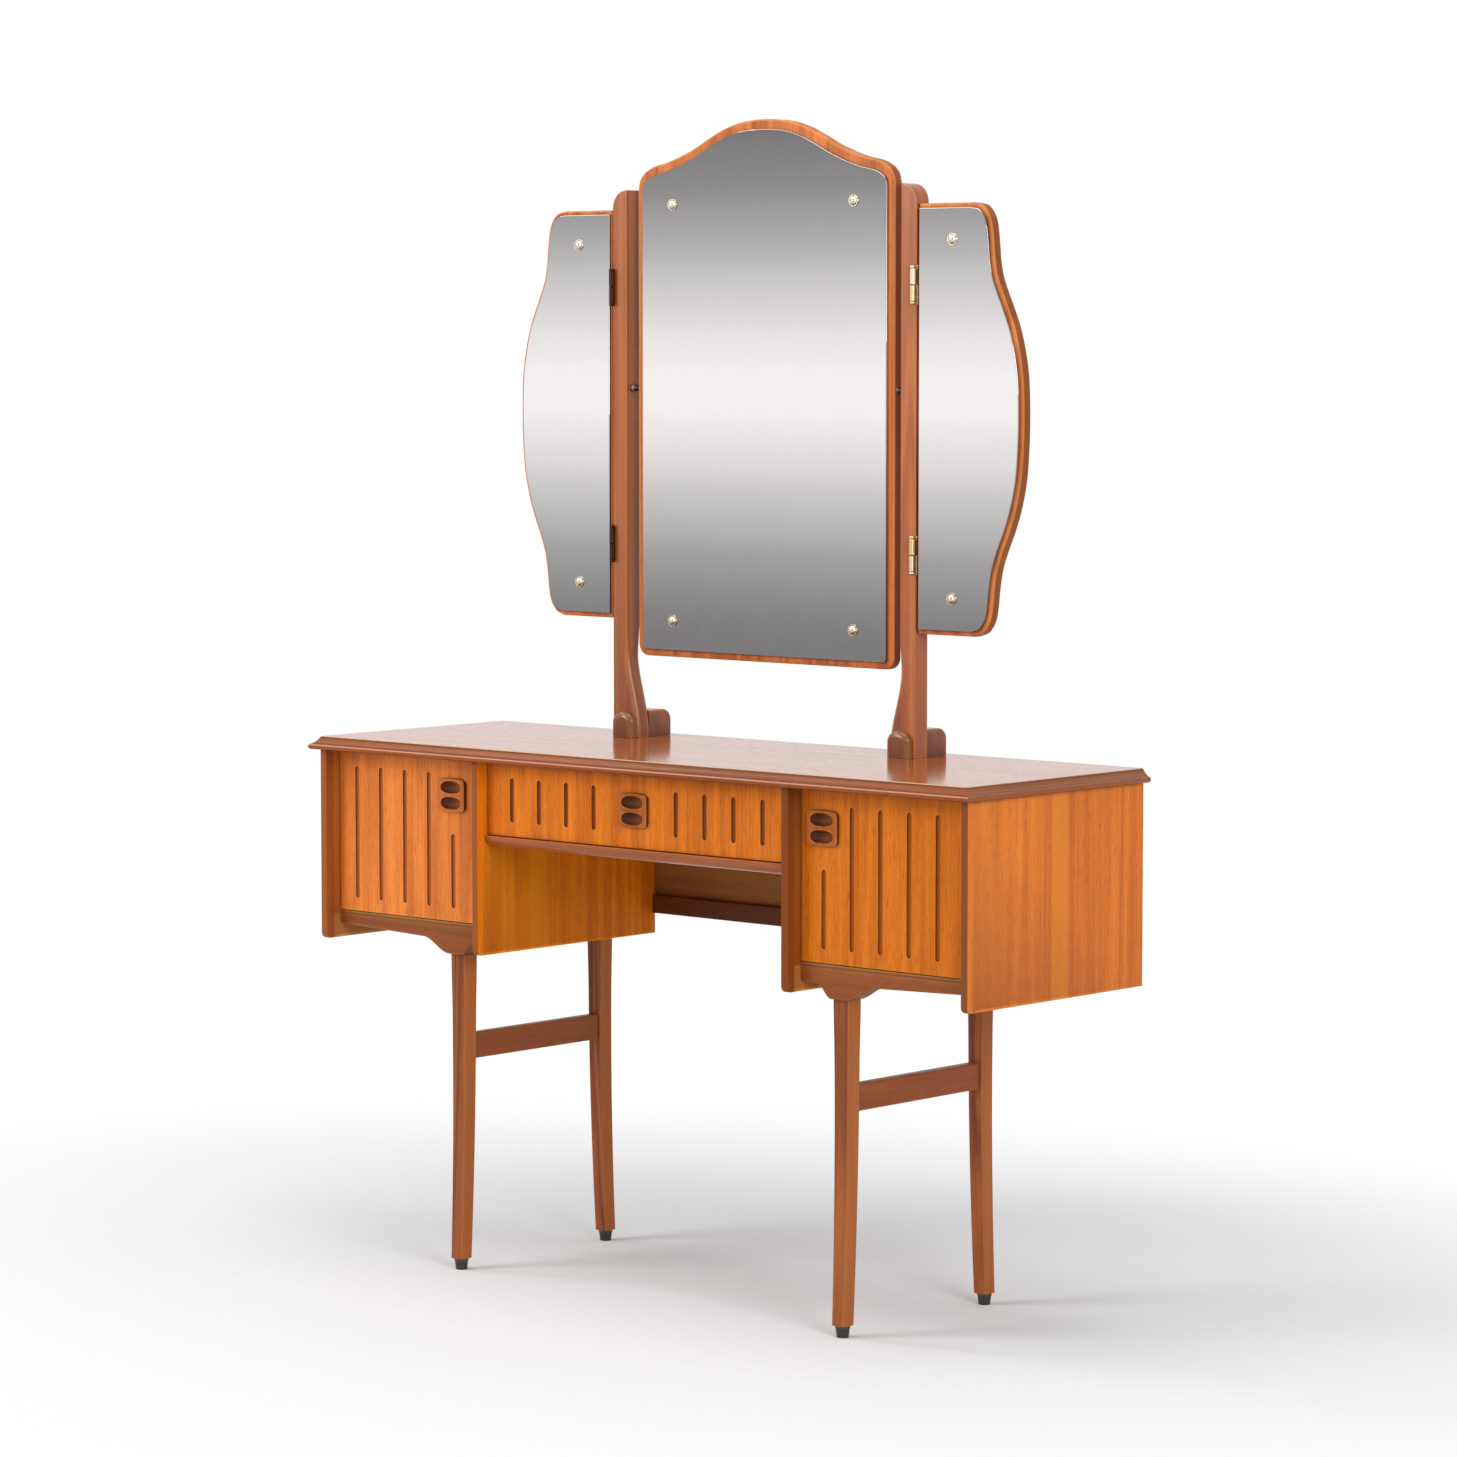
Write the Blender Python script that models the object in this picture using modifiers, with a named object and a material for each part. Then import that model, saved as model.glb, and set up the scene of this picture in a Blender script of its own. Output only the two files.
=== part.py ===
"""Teak dressing table: two door pedestals, a centre drawer and a three-part mirror.

The table stands on the floor at z = 0. X runs along its width, Y from the front to the
back, Z upwards, and the origin is under the middle of its bounding box. All sizes are in
metres. Front to back places are given from the front edge of the side panels.
"""

import math

import bmesh
import bpy
from mathutils import Matrix, Vector

# Clearances
JOINT_GAP = 0.0003
CUT_OVERRUN = 0.002
WELD = 0.00001
FLAT_ANGLE = 0.5

# Overall sizes
OVERALL_WIDTH = 1.150
OVERALL_DEPTH = 0.363
TABLE_HEIGHT = 0.7064

# Table top and its edge moulding: a hollow above a half-round nose
TOP_THICKNESS = 0.0177
MOULDING_WIDTH = 0.015
MOULDING_OVERHANG = 0.013
COVE_HEIGHT = 0.0063
COVE_STEPS = 4
NOSE_STEPS = 6

# Side panels, with a solid lipping glued to the front edge of each
PANEL_THICKNESS = 0.0105
PANEL_HEIGHT = 0.2575
PANEL_INSET = 0.0106
PANEL_BACK_INSET = 0.0007
KNEEHOLE_WIDTH = 0.531
PANEL_CORNER = 0.008
PANEL_EDGE = 0.0012

# Pedestal bottoms and the back, with the rail glued to it below the kneehole
DOOR_OPENING_HEIGHT = 0.2202
BOTTOM_THICKNESS = 0.004
BACK_THICKNESS = 0.004
BACK_RAIL_HEIGHT = 0.025
BACK_RAIL_DEPTH = 0.011
BACK_RAIL_TOP = 0.2295

# Rails under the doors, with the bracket that carries each front leg
FRONT_RAIL_DEPTH = 0.028
FRONT_RAIL_RECESS = 0.0256
RAIL_INNER_HEIGHT = 0.0207
RAIL_OUTER_HEIGHT = 0.0197
RAIL_END_HEIGHT = 0.0145
RAIL_EDGE = 0.004
BRACKET_DROP = 0.0392
BRACKET_HALF_WIDTH = 0.012
BRACKET_OUTER_SWEEP = 0.048
BRACKET_INNER_SWEEP = 0.024
SWEEP_STEPS = 6
REAR_RAIL_DEPTH = 0.034
REAR_RAIL_HEIGHT = 0.032

# Legs, stretchers and feet
LEG_SPACING = 0.672
FRONT_LEG_CENTRE = 0.045
REAR_LEG_CENTRE = 0.3085
FRONT_LEG_SWEEP = 0.0074
REAR_LEG_SWEEP = 0.0102
LEG_TOP_WIDTH = 0.0265
LEG_SHOULDER_WIDTH = 0.0235
LEG_FOOT_WIDTH = 0.020
LEG_TOP_DEPTH = 0.0245
LEG_FOOT_DEPTH = 0.021
LEG_SHOULDER_DROP = 0.085
LEG_EDGE = 0.0025
LEG_STEPS = 7
FOOT_HEIGHT = 0.0145
FOOT_TOP_RADIUS = 0.0096
FOOT_BOTTOM_RADIUS = 0.0077
STRETCHER_TOP = 0.3175
STRETCHER_HEIGHT = 0.0345
STRETCHER_THICKNESS = 0.016

# Drawer, its rail and its runners
DRAWER_RECESS = 0.018
DRAWER_FRONT_HEIGHT = 0.0958
DRAWER_FRONT_THICKNESS = 0.016
DRAWER_SIDE_GAP = 0.0015
DRAWER_TOP_GAP = 0.0015
DRAWER_RAIL_GAP = 0.001
DRAWER_DEPTH = 0.302
DRAWER_SIDE_THICKNESS = 0.012
DRAWER_SIDE_HEIGHT = 0.080
DRAWER_SIDE_RISE = 0.005
DRAWER_BOTTOM_THICKNESS = 0.004
DRAWER_RAIL_RECESS = 0.013
DRAWER_RAIL_DEPTH = 0.026
DRAWER_RAIL_HEIGHT = 0.0153
DRAWER_RAIL_ROUND_DEPTH = 0.017
DRAWER_RAIL_ROUND_HEIGHT = 0.0125
RUNNER_THICKNESS = 0.0065
RUNNER_HEIGHT = 0.012
RUNNER_RECESS = 0.050
RUNNER_SIDE_CLEARANCE = 0.0006
RUNNER_UNDER_CLEARANCE = 0.0006

# Doors and their pivots
DOOR_RECESS = 0.025
DOOR_THICKNESS = 0.016
DOOR_SIDE_GAP = 0.0015
DOOR_END_GAP = 0.001
FRONT_EDGE = 0.001
PIVOT_EDGE_DISTANCE = 0.009
PIVOT_FACE_DISTANCE = 0.005
PIVOT_RADIUS = 0.0025
PIVOT_IN_DOOR = 0.012
PIVOT_IN_CASE = 0.009

# Grooves in the doors and in the drawer front
GROOVE_WIDTH = 0.007
GROOVE_DEPTH = 0.003
GROOVE_END_STEPS = 6
DOOR_GROOVE_COUNT = 5
LEFT_DOOR_OUTER_MARGIN = 0.0353
LEFT_DOOR_INNER_MARGIN = 0.0594
RIGHT_DOOR_INNER_MARGIN = 0.0385
RIGHT_DOOR_OUTER_MARGIN = 0.0562
DOOR_GROOVE_BOTTOM_MARGIN = 0.0175
DOOR_GROOVE_TOP_MARGIN = 0.021
SHORT_GROOVE_LENGTH = 0.0995
DRAWER_GROOVE_PAIRS = 4
DRAWER_FIRST_GROOVE = 0.072
DRAWER_GROOVE_SIDE_MARGIN = 0.0447
DRAWER_GROOVE_MARGIN = 0.0186

# Handles: a block let into the front, with two finger scoops
HANDLE_WIDTH = 0.049
HANDLE_HEIGHT = 0.0445
HANDLE_BOW = 0.0015
HANDLE_CORNER = 0.005
HANDLE_PROUD = 0.0053
HANDLE_LET_IN = 0.0087
HANDLE_CLEARANCE = 0.0005
HANDLE_EDGE = 0.0012
HANDLE_SIDE_STEPS = 6
SCOOP_HALF_WIDTH = 0.018
SCOOP_HALF_HEIGHT = 0.0066
SCOOP_DEPTH = 0.0085
SCOOP_PITCH = 0.022
DOOR_HANDLE_DROP = 0.0503
DRAWER_HANDLE_DROP = 0.0484

# Posts of the mirror, with the blocks glued in front of and behind their feet
POST_OUTER = 0.2645
POST_WIDTH = 0.0252
POST_DEPTH = 0.026
POST_FRONT = 0.2605
POST_HEIGHT = 0.7335
POST_CORNER = 0.024
POST_EDGE = 0.002
POST_FOOT_WIDTH = 0.0455
POST_FLARE_HEIGHT = 0.120
POST_FLARE_SHARES = ((0.0, 1.0), (0.12, 0.985), (0.30, 0.84), (0.50, 0.55), (0.70, 0.24), (0.86, 0.07), (1.0, 0.0))
BLOCK_WIDTH = 0.038
BLOCK_HEIGHT = 0.0355
FRONT_BLOCK_DEPTH = 0.0102
FRONT_BLOCK_ROUND = 0.0085
REAR_BLOCK_DEPTH = 0.0447
REAR_BLOCK_ROUND = 0.018
BLOCK_STEPS = 5
BLOCK_LAP = 0.002

# Centre mirror
MIRROR_WIDTH = 0.448
MIRROR_HEIGHT = 0.710
MIRROR_LIFT = 0.1116
BOARD_THICKNESS = 0.014
BOARD_EDGE = 0.003
MIRROR_RECESS = 0.0065
MIRROR_CORNER = 0.016
MIRROR_CROWN_HEIGHT = 0.087
MIRROR_CROWN_SHARES = (
    (0.0, 0.0), (0.10, 0.010), (0.21, 0.048), (0.33, 0.140), (0.44, 0.265), (0.54, 0.390),
    (0.65, 0.505), (0.77, 0.600), (0.87, 0.655), (0.94, 0.735), (0.985, 0.850), (1.0, 1.0))
GLASS_THICKNESS = 0.003
MIRROR_RIM = 0.011
MIRROR_GLASS_DROP = 0.002
CORNER_STEPS = 5
SCREW_SPACING = 0.316
SCREW_TOP = 0.6015
SCREW_BOTTOM = 0.049
PIVOT_HEIGHT = 0.3585

# Pivot screws that carry the centre mirror between the posts
MIRROR_PIVOT_RADIUS = 0.003
MIRROR_PIVOT_IN_BOARD = 0.014
MIRROR_PIVOT_HEAD_RADIUS = 0.0055
MIRROR_PIVOT_HEAD_LENGTH = 0.004
MIRROR_PIVOT_HEAD_SINK = 0.0005
COLLAR_POST_RADIUS = 0.0055
COLLAR_MIRROR_RADIUS = 0.0043
COLLAR_CLEARANCE = 0.0005
TURNED_STEPS = 16

# Side mirrors
WING_GAP = 0.003
WING_WIDTH = 0.1705
WING_HEIGHT = 0.5475
WING_LIFT = 0.0485
WING_RECESS = 0.0025
WING_RIM = 0.006
WING_OUTLINE_SHARES = (
    (0.50, 1.0), (0.60, 0.994), (0.665, 0.973), (0.695, 0.945), (0.712, 0.900), (0.722, 0.868),
    (0.745, 0.832), (0.790, 0.797), (0.850, 0.757), (0.912, 0.710), (0.960, 0.655), (0.990, 0.595),
    (1.0, 0.520), (0.995, 0.440), (0.975, 0.365), (0.930, 0.300), (0.870, 0.246), (0.805, 0.200),
    (0.753, 0.155), (0.727, 0.110), (0.713, 0.072), (0.690, 0.038), (0.630, 0.011), (0.54, 0.0))
WING_SCREW_OFFSET = 0.058
WING_SCREW_TOP = 0.5015
WING_SCREW_BOTTOM = 0.047

# Holes for the screws that hold each glass on its board
SCREW_SHANK_RADIUS = 0.0017
SCREW_IN_BOARD = 0.009
SCREW_HOLE_STEPS = 12

# Lift-off hinges of the side mirrors
HINGE_HEIGHT = 0.050
HINGE_KNUCKLE_RADIUS = 0.0034
HINGE_PIN_RADIUS = 0.0016
HINGE_LEAF_THICKNESS = 0.001
HINGE_LEAF_DEPTH = 0.018
HINGE_AXIS_INSET = 0.0025
HINGE_KNUCKLE_GAP = 0.0004
HINGE_STEPS = 12
UPPER_HINGE = 0.4445
LOWER_HINGE = 0.1005

# Materials: colour, roughness and metallic value
FINISHES = {
    "teak_veneer": ((0.62, 0.25, 0.07), 0.42, 0.0),
    "solid_teak": ((0.26, 0.09, 0.04), 0.45, 0.0),
    "mirror_teak": ((0.50, 0.20, 0.09), 0.45, 0.0),
    "plywood": ((0.50, 0.33, 0.18), 0.60, 0.0),
    "beech": ((0.66, 0.48, 0.30), 0.60, 0.0),
    "mirror_glass": ((0.85, 0.86, 0.87), 0.04, 1.0),
    "brass": ((0.80, 0.62, 0.30), 0.28, 1.0),
    "dark_steel": ((0.12, 0.11, 0.10), 0.40, 1.0),
    "brown_plastic": ((0.06, 0.035, 0.025), 0.50, 0.0),
}

# Places worked out from the sizes
HALF_WIDTH = OVERALL_WIDTH / 2
BACK_EDGE = OVERALL_DEPTH / 2
PANEL_FRONT = MOULDING_OVERHANG - OVERALL_DEPTH / 2
UNDERSIDE = TABLE_HEIGHT - TOP_THICKNESS
PANEL_BOTTOM = UNDERSIDE - PANEL_HEIGHT
PANEL_TOP = UNDERSIDE - JOINT_GAP
PANEL_BACK = BACK_EDGE - PANEL_BACK_INSET
OUTER_FACE = HALF_WIDTH - PANEL_INSET
OUTER_INSIDE = OUTER_FACE - PANEL_THICKNESS
INNER_FACE = KNEEHOLE_WIDTH / 2
INNER_INSIDE = INNER_FACE + PANEL_THICKNESS
BACK_FRONT = PANEL_BACK - JOINT_GAP - BACK_THICKNESS
OPENING_BOTTOM = UNDERSIDE - DOOR_OPENING_HEIGHT
RAIL_TOP = OPENING_BOTTOM - BOTTOM_THICKNESS - JOINT_GAP
DOOR_FRONT = PANEL_FRONT + DOOR_RECESS
DRAWER_FRONT = PANEL_FRONT + DRAWER_RECESS
DRAWER_FRONT_TOP = UNDERSIDE - DRAWER_TOP_GAP
DRAWER_FRONT_BOTTOM = DRAWER_FRONT_TOP - DRAWER_FRONT_HEIGHT
POST_FACE = PANEL_FRONT + POST_FRONT
POST_MIDDLE = POST_FACE + POST_DEPTH / 2
TABLE_SEAT = TABLE_HEIGHT + JOINT_GAP
MIRROR_BOTTOM = TABLE_HEIGHT + MIRROR_LIFT
MIRROR_FACE = POST_FACE + MIRROR_RECESS
PIVOT_Z = MIRROR_BOTTOM + PIVOT_HEIGHT
WING_INNER = POST_OUTER + WING_GAP
WING_BOTTOM = MIRROR_BOTTOM + WING_LIFT
WING_FACE = POST_FACE + WING_RECESS
HINGE_X = POST_OUTER - HINGE_AXIS_INSET
HINGE_Y = POST_FACE - HINGE_KNUCKLE_RADIUS - JOINT_GAP
DOOR_PIVOT_X = OUTER_INSIDE - DOOR_SIDE_GAP - PIVOT_EDGE_DISTANCE
DOOR_PIVOT_Y = DOOR_FRONT + PIVOT_FACE_DISTANCE
LEG_X = LEG_SPACING / 2

SIDES = (("left", -1), ("right", 1))


def clear_scene():
    """Remove whatever the scene holds."""
    for item in list(bpy.data.objects):
        bpy.data.objects.remove(item, do_unlink=True)


def make_collection(name):
    """Make a collection in the scene and return it."""
    collection = bpy.data.collections.new(name)
    bpy.context.scene.collection.children.link(collection)
    return collection


def make_materials():
    """One plain material for each finish."""
    made = {}
    for name, (colour, roughness, metallic) in FINISHES.items():
        material = bpy.data.materials.new(name)
        material.use_nodes = True
        shader = material.node_tree.nodes["Principled BSDF"]
        shader.inputs["Base Color"].default_value = (*colour, 1.0)
        shader.inputs["Roughness"].default_value = roughness
        shader.inputs["Metallic"].default_value = metallic
        material.diffuse_color = (*colour, 1.0)
        made[name] = material
    return made


clear_scene()
PARTS = make_collection("dressing_table")
MATERIALS = make_materials()


def make_body(name, place=(0, 0, 0)):
    """An empty on the axis that a moving group of pieces turns or slides on."""
    body = bpy.data.objects.new(name, None)
    body.location = place
    PARTS.objects.link(body)
    return body


CASE = make_body("case")
DRAWER = make_body("drawer", (0, DRAWER_FRONT, DRAWER_FRONT_BOTTOM))
MIRROR = make_body("centre_mirror", (0, POST_MIDDLE, PIVOT_Z))
DOORS = {}
WINGS = {}
for side_name, side in SIDES:
    DOORS[side] = make_body(f"{side_name}_door_body", (side * DOOR_PIVOT_X, DOOR_PIVOT_Y, OPENING_BOTTOM))
    WINGS[side] = make_body(f"{side_name}_wing_body", (side * HINGE_X, HINGE_Y, WING_BOTTOM))


def weld(mesh):
    """Join vertices that lie on each other, merge flat faces and face them outwards."""
    work = bmesh.new()
    work.from_mesh(mesh)
    bmesh.ops.remove_doubles(work, verts=work.verts, dist=WELD)
    bmesh.ops.dissolve_limit(
        work, angle_limit=math.radians(FLAT_ANGLE), verts=work.verts, edges=work.edges)
    bmesh.ops.recalc_face_normals(work, faces=work.faces)
    work.to_mesh(mesh)
    work.free()
    return mesh


def evaluated_mesh(item):
    """The mesh of an object with its modifiers applied."""
    bpy.context.view_layer.update()
    depsgraph = bpy.context.evaluated_depsgraph_get()
    return bpy.data.meshes.new_from_object(item.evaluated_get(depsgraph))


def piece(name, mesh, finish, body, place):
    """Put a mesh into the model: its origin is at a place in the world, under a body."""
    item = bpy.data.objects.new(name, mesh)
    mesh.name = name
    mesh.materials.clear()
    mesh.materials.append(MATERIALS[finish])
    PARTS.objects.link(item)
    item.parent = body
    item.location = Vector(place) - body.location
    return item


def round_edges(item, width, steps=1):
    """Soften the sharp edges of a piece."""
    bevel = item.modifiers.new("edges", "BEVEL")
    bevel.width = width
    bevel.segments = steps
    bevel.limit_method = "ANGLE"
    bevel.angle_limit = math.radians(50)
    return item


def smooth(item, angle=35):
    """Shade a round piece smooth, except across its sharp edges."""
    item.data.shade_smooth()
    item.data.set_sharp_from_angle(angle=math.radians(angle))
    return item


def settle(item):
    """Replace a piece's mesh by the one its modifiers make."""
    mesh = evaluated_mesh(item)
    old = item.data
    item.modifiers.clear()
    item.data = mesh
    bpy.data.meshes.remove(old)
    mesh.name = item.name
    return item


def combine(item, others, operation):
    """Cut other shapes out of a piece, or join them to it, and remove those shapes."""
    for other in others:
        step = item.modifiers.new(operation.lower(), "BOOLEAN")
        step.operation = operation
        step.object = other
    settle(item)
    for other in others:
        bpy.data.objects.remove(other, do_unlink=True)
    return item


def helper(data, place=(0, 0, 0)):
    """A shape that cuts or joins a piece and is then removed."""
    item = bpy.data.objects.new("helper", data)
    item.location = place
    item.display_type = "WIRE"
    item.hide_render = True
    bpy.context.scene.collection.objects.link(item)
    return item


def box_mesh(size):
    """A box centred on its own origin."""
    work = bmesh.new()
    bmesh.ops.create_cube(work, size=1)
    bmesh.ops.scale(work, vec=Vector(size), verts=work.verts)
    mesh = bpy.data.meshes.new("box")
    work.to_mesh(mesh)
    work.free()
    return mesh


def box(name, low, high, finish, body=CASE):
    """A square-edged board between two corners."""
    low = Vector(low)
    high = Vector(high)
    return piece(name, box_mesh(high - low), finish, body, (low + high) / 2)


def box_helper(low, high):
    """A box between two corners, for cutting or joining."""
    low = Vector(low)
    high = Vector(high)
    return helper(box_mesh(high - low), (low + high) / 2)


def cylinder_mesh(radius, length, steps=TURNED_STEPS, end_radius=None):
    """A cylinder or cone along Z, centred on its own origin."""
    work = bmesh.new()
    top = radius if end_radius is None else end_radius
    bmesh.ops.create_cone(
        work, cap_ends=True, segments=steps, radius1=radius, radius2=top, depth=length)
    mesh = bpy.data.meshes.new("cylinder")
    work.to_mesh(mesh)
    work.free()
    return mesh


def outline_mesh(points, thickness):
    """A flat outline in X and Y, filled on both faces and thickened along Z."""
    curve = bpy.data.curves.new("outline", "CURVE")
    curve.dimensions = "2D"
    curve.fill_mode = "BOTH"
    curve.extrude = thickness / 2
    spline = curve.splines.new("POLY")
    spline.points.add(len(points) - 1)
    for knot, (across, up) in zip(spline.points, points):
        knot.co = (across, up, 0, 1)
    spline.use_cyclic_u = True
    guide = helper(curve)
    mesh = evaluated_mesh(guide)
    mesh.transform(guide.matrix_world)
    bpy.data.objects.remove(guide, do_unlink=True)
    bpy.data.curves.remove(curve)
    return weld(mesh)


def stand_up(mesh):
    """Turn a flat outline upright: its X stays X and its Y becomes Z."""
    mesh.transform(Matrix.Rotation(math.pi / 2, 4, "X"))
    return mesh


def stand_sideways(mesh):
    """Turn a flat outline upright and sideways: its X becomes Y and its Y becomes Z."""
    stand_up(mesh)
    mesh.transform(Matrix.Rotation(math.pi / 2, 4, "Z"))
    return mesh


def mirror_mesh(mesh, side):
    """Mirror a mesh across X where side is -1."""
    work = bmesh.new()
    work.from_mesh(mesh)
    bmesh.ops.scale(work, vec=Vector((side, 1, 1)), verts=work.verts)
    bmesh.ops.recalc_face_normals(work, faces=work.faces)
    work.to_mesh(mesh)
    work.free()
    return mesh


def arc(centre, radii, start, end, steps):
    """Points of an arc or a quarter ellipse; angles in degrees."""
    points = []
    for step in range(steps + 1):
        angle = math.radians(start + (end - start) * step / steps)
        points.append((centre[0] + radii[0] * math.cos(angle), centre[1] + radii[1] * math.sin(angle)))
    return points


def smooth_step(share):
    """Ease from 0 to 1 with level ends."""
    return (1 - math.cos(math.pi * share)) / 2


def inset(points, distance):
    """Move a closed anticlockwise outline inwards by a distance."""
    count = len(points)
    moved = []
    for index, (across, up) in enumerate(points):
        before = Vector(points[index - 1])
        after = Vector(points[(index + 1) % count])
        here = Vector((across, up))
        first = (here - before).normalized()
        second = (after - here).normalized()
        normal = (Vector((-first.y, first.x)) + Vector((-second.y, second.x))).normalized()
        reach = distance / max(normal.dot(Vector((-first.y, first.x))), 0.5)
        moved.append((across + normal.x * reach, up + normal.y * reach))
    return moved


def turned_mesh(profile, steps=TURNED_STEPS):
    """A turned shape about Z from a profile of radius and height, top to bottom."""
    mesh = bpy.data.meshes.new("profile")
    points = [(radius, 0, height) for radius, height in profile]
    edges = [(index, index + 1) for index in range(len(points) - 1)]
    mesh.from_pydata(points, edges, [])
    guide = helper(mesh)
    screw = guide.modifiers.new("turn", "SCREW")
    screw.steps = steps
    screw.render_steps = steps
    screw.use_merge_vertices = True
    screw.merge_threshold = WELD
    made = evaluated_mesh(guide)
    bpy.data.objects.remove(guide, do_unlink=True)
    return weld(made)


# Table top and moulding


def moulding_profile():
    """Outline of the moulding: distance out from the board, height from its top face."""
    nose = (TOP_THICKNESS - COVE_HEIGHT) / 2
    cove_width = MOULDING_OVERHANG - nose
    nose_centre = MOULDING_WIDTH - nose
    cove = arc((nose_centre, 0), (cove_width, COVE_HEIGHT), 180, 270, COVE_STEPS)
    round_nose = arc((nose_centre, nose - TOP_THICKNESS), (nose, nose), 90, -90, NOSE_STEPS)
    return [(0, -TOP_THICKNESS), (0, 0)] + cove + round_nose[1:]


def make_top():
    """The veneered board and the moulding round its front and sides, mitred in front."""
    board_side = HALF_WIDTH - MOULDING_WIDTH
    board_front = MOULDING_WIDTH - OVERALL_DEPTH / 2
    box("table_top",
        (JOINT_GAP - board_side, board_front + JOINT_GAP, UNDERSIDE),
        (board_side - JOINT_GAP, BACK_EDGE, TABLE_HEIGHT), "teak_veneer")
    profile = moulding_profile()

    front = stand_sideways(outline_mesh([(-out, height) for out, height in profile], OVERALL_WIDTH))
    for vertex in front.vertices:
        half_length = board_side - vertex.co.y - JOINT_GAP
        vertex.co.x = math.copysign(half_length, vertex.co.x)
    smooth(piece("front_moulding", front, "solid_teak", CASE, (0, board_front, TABLE_HEIGHT)))

    for side_name, side in SIDES:
        strip = stand_up(outline_mesh(profile, OVERALL_DEPTH))
        for vertex in strip.vertices:
            mitre = board_front - vertex.co.x + JOINT_GAP
            vertex.co.y = mitre if vertex.co.y < 0 else BACK_EDGE
        smooth(piece(f"{side_name}_moulding", mirror_mesh(strip, side), "solid_teak", CASE,
                     (side * board_side, 0, TABLE_HEIGHT)))


# Case


def panel_outline(depth):
    """A panel seen from the side, with its lower front corner rounded."""
    height = PANEL_TOP - PANEL_BOTTOM
    corner = arc((PANEL_CORNER, PANEL_CORNER), (PANEL_CORNER, PANEL_CORNER), 180, 270, CORNER_STEPS)
    return [(0, height)] + corner + [(depth, 0), (depth, height)]


def make_panels():
    """Four upright panels: the outer two cover the ends of the back."""
    for side_name, side in SIDES:
        for place, near, far, back in (("outer", OUTER_INSIDE, OUTER_FACE, PANEL_BACK),
                                       ("inner", INNER_FACE, INNER_INSIDE, BACK_FRONT - JOINT_GAP)):
            board = stand_sideways(outline_mesh(panel_outline(back - PANEL_FRONT), PANEL_THICKNESS))
            item = piece(f"{side_name}_{place}_panel", board, "teak_veneer", CASE,
                         (side * (near + far) / 2, PANEL_FRONT, PANEL_BOTTOM))
            round_edges(item, PANEL_EDGE)


def pivot_bore(side, low, high):
    """Cutter for the hole that a door pivot pin stands in."""
    bore = cylinder_mesh(PIVOT_RADIUS + JOINT_GAP, high - low)
    return helper(bore, (side * DOOR_PIVOT_X, DOOR_PIVOT_Y, (low + high) / 2))


def make_pedestal_bottoms():
    """A thin bottom in each pedestal, with the hole for the lower door pivot."""
    for side_name, side in SIDES:
        edges = sorted((side * (INNER_INSIDE + JOINT_GAP), side * (OUTER_INSIDE - JOINT_GAP)))
        bottom = box(f"{side_name}_pedestal_bottom",
                     (edges[0], PANEL_FRONT + FRONT_RAIL_RECESS, OPENING_BOTTOM - BOTTOM_THICKNESS),
                     (edges[1], BACK_FRONT - JOINT_GAP, OPENING_BOTTOM), "plywood")
        combine(bottom, [pivot_bore(side, RAIL_TOP, OPENING_BOTTOM + CUT_OVERRUN)], "DIFFERENCE")


def front_rail_outline():
    """Rail under a right-hand door, seen from the front: X from the leg, Z from its top."""
    inner_end = INNER_INSIDE + JOINT_GAP - LEG_X
    outer_end = OUTER_INSIDE - JOINT_GAP - LEG_X
    lower = [(inner_end, -RAIL_INNER_HEIGHT)]
    for step in range(SWEEP_STEPS + 1):
        share = step / SWEEP_STEPS
        across = -BRACKET_HALF_WIDTH - BRACKET_INNER_SWEEP * (1 - share)
        lower.append((across, -RAIL_INNER_HEIGHT - (BRACKET_DROP - RAIL_INNER_HEIGHT) * smooth_step(share)))
    for step in range(SWEEP_STEPS + 1):
        share = step / SWEEP_STEPS
        across = BRACKET_HALF_WIDTH + BRACKET_OUTER_SWEEP * share
        lower.append((across, -BRACKET_DROP + (BRACKET_DROP - RAIL_OUTER_HEIGHT) * smooth_step(share)))
    return lower + [(outer_end, -RAIL_END_HEIGHT), (outer_end, 0), (inner_end, 0)]


def round_lower_front(item, width, steps=2):
    """Soften only the edges along the lower front of a rail."""
    work = bmesh.new()
    work.from_mesh(item.data)
    front = min(vertex.co.y for vertex in work.verts)
    ends = [min(vertex.co.x for vertex in work.verts), max(vertex.co.x for vertex in work.verts)]
    picked = []
    for edge in work.edges:
        first, second = edge.verts
        on_front = first.co.y < front + WELD and second.co.y < front + WELD
        at_end = any(abs(first.co.x - end) < WELD and abs(second.co.x - end) < WELD for end in ends)
        on_top = first.co.z > -WELD and second.co.z > -WELD
        outside = len(edge.link_faces) == 2 and edge.calc_face_angle() > math.radians(50)
        if on_front and outside and not at_end and not on_top:
            picked.append(edge)
    bmesh.ops.bevel(work, geom=picked, offset=width, segments=steps, profile=0.5, affect="EDGES")
    work.to_mesh(item.data)
    work.free()
    return item


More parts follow.
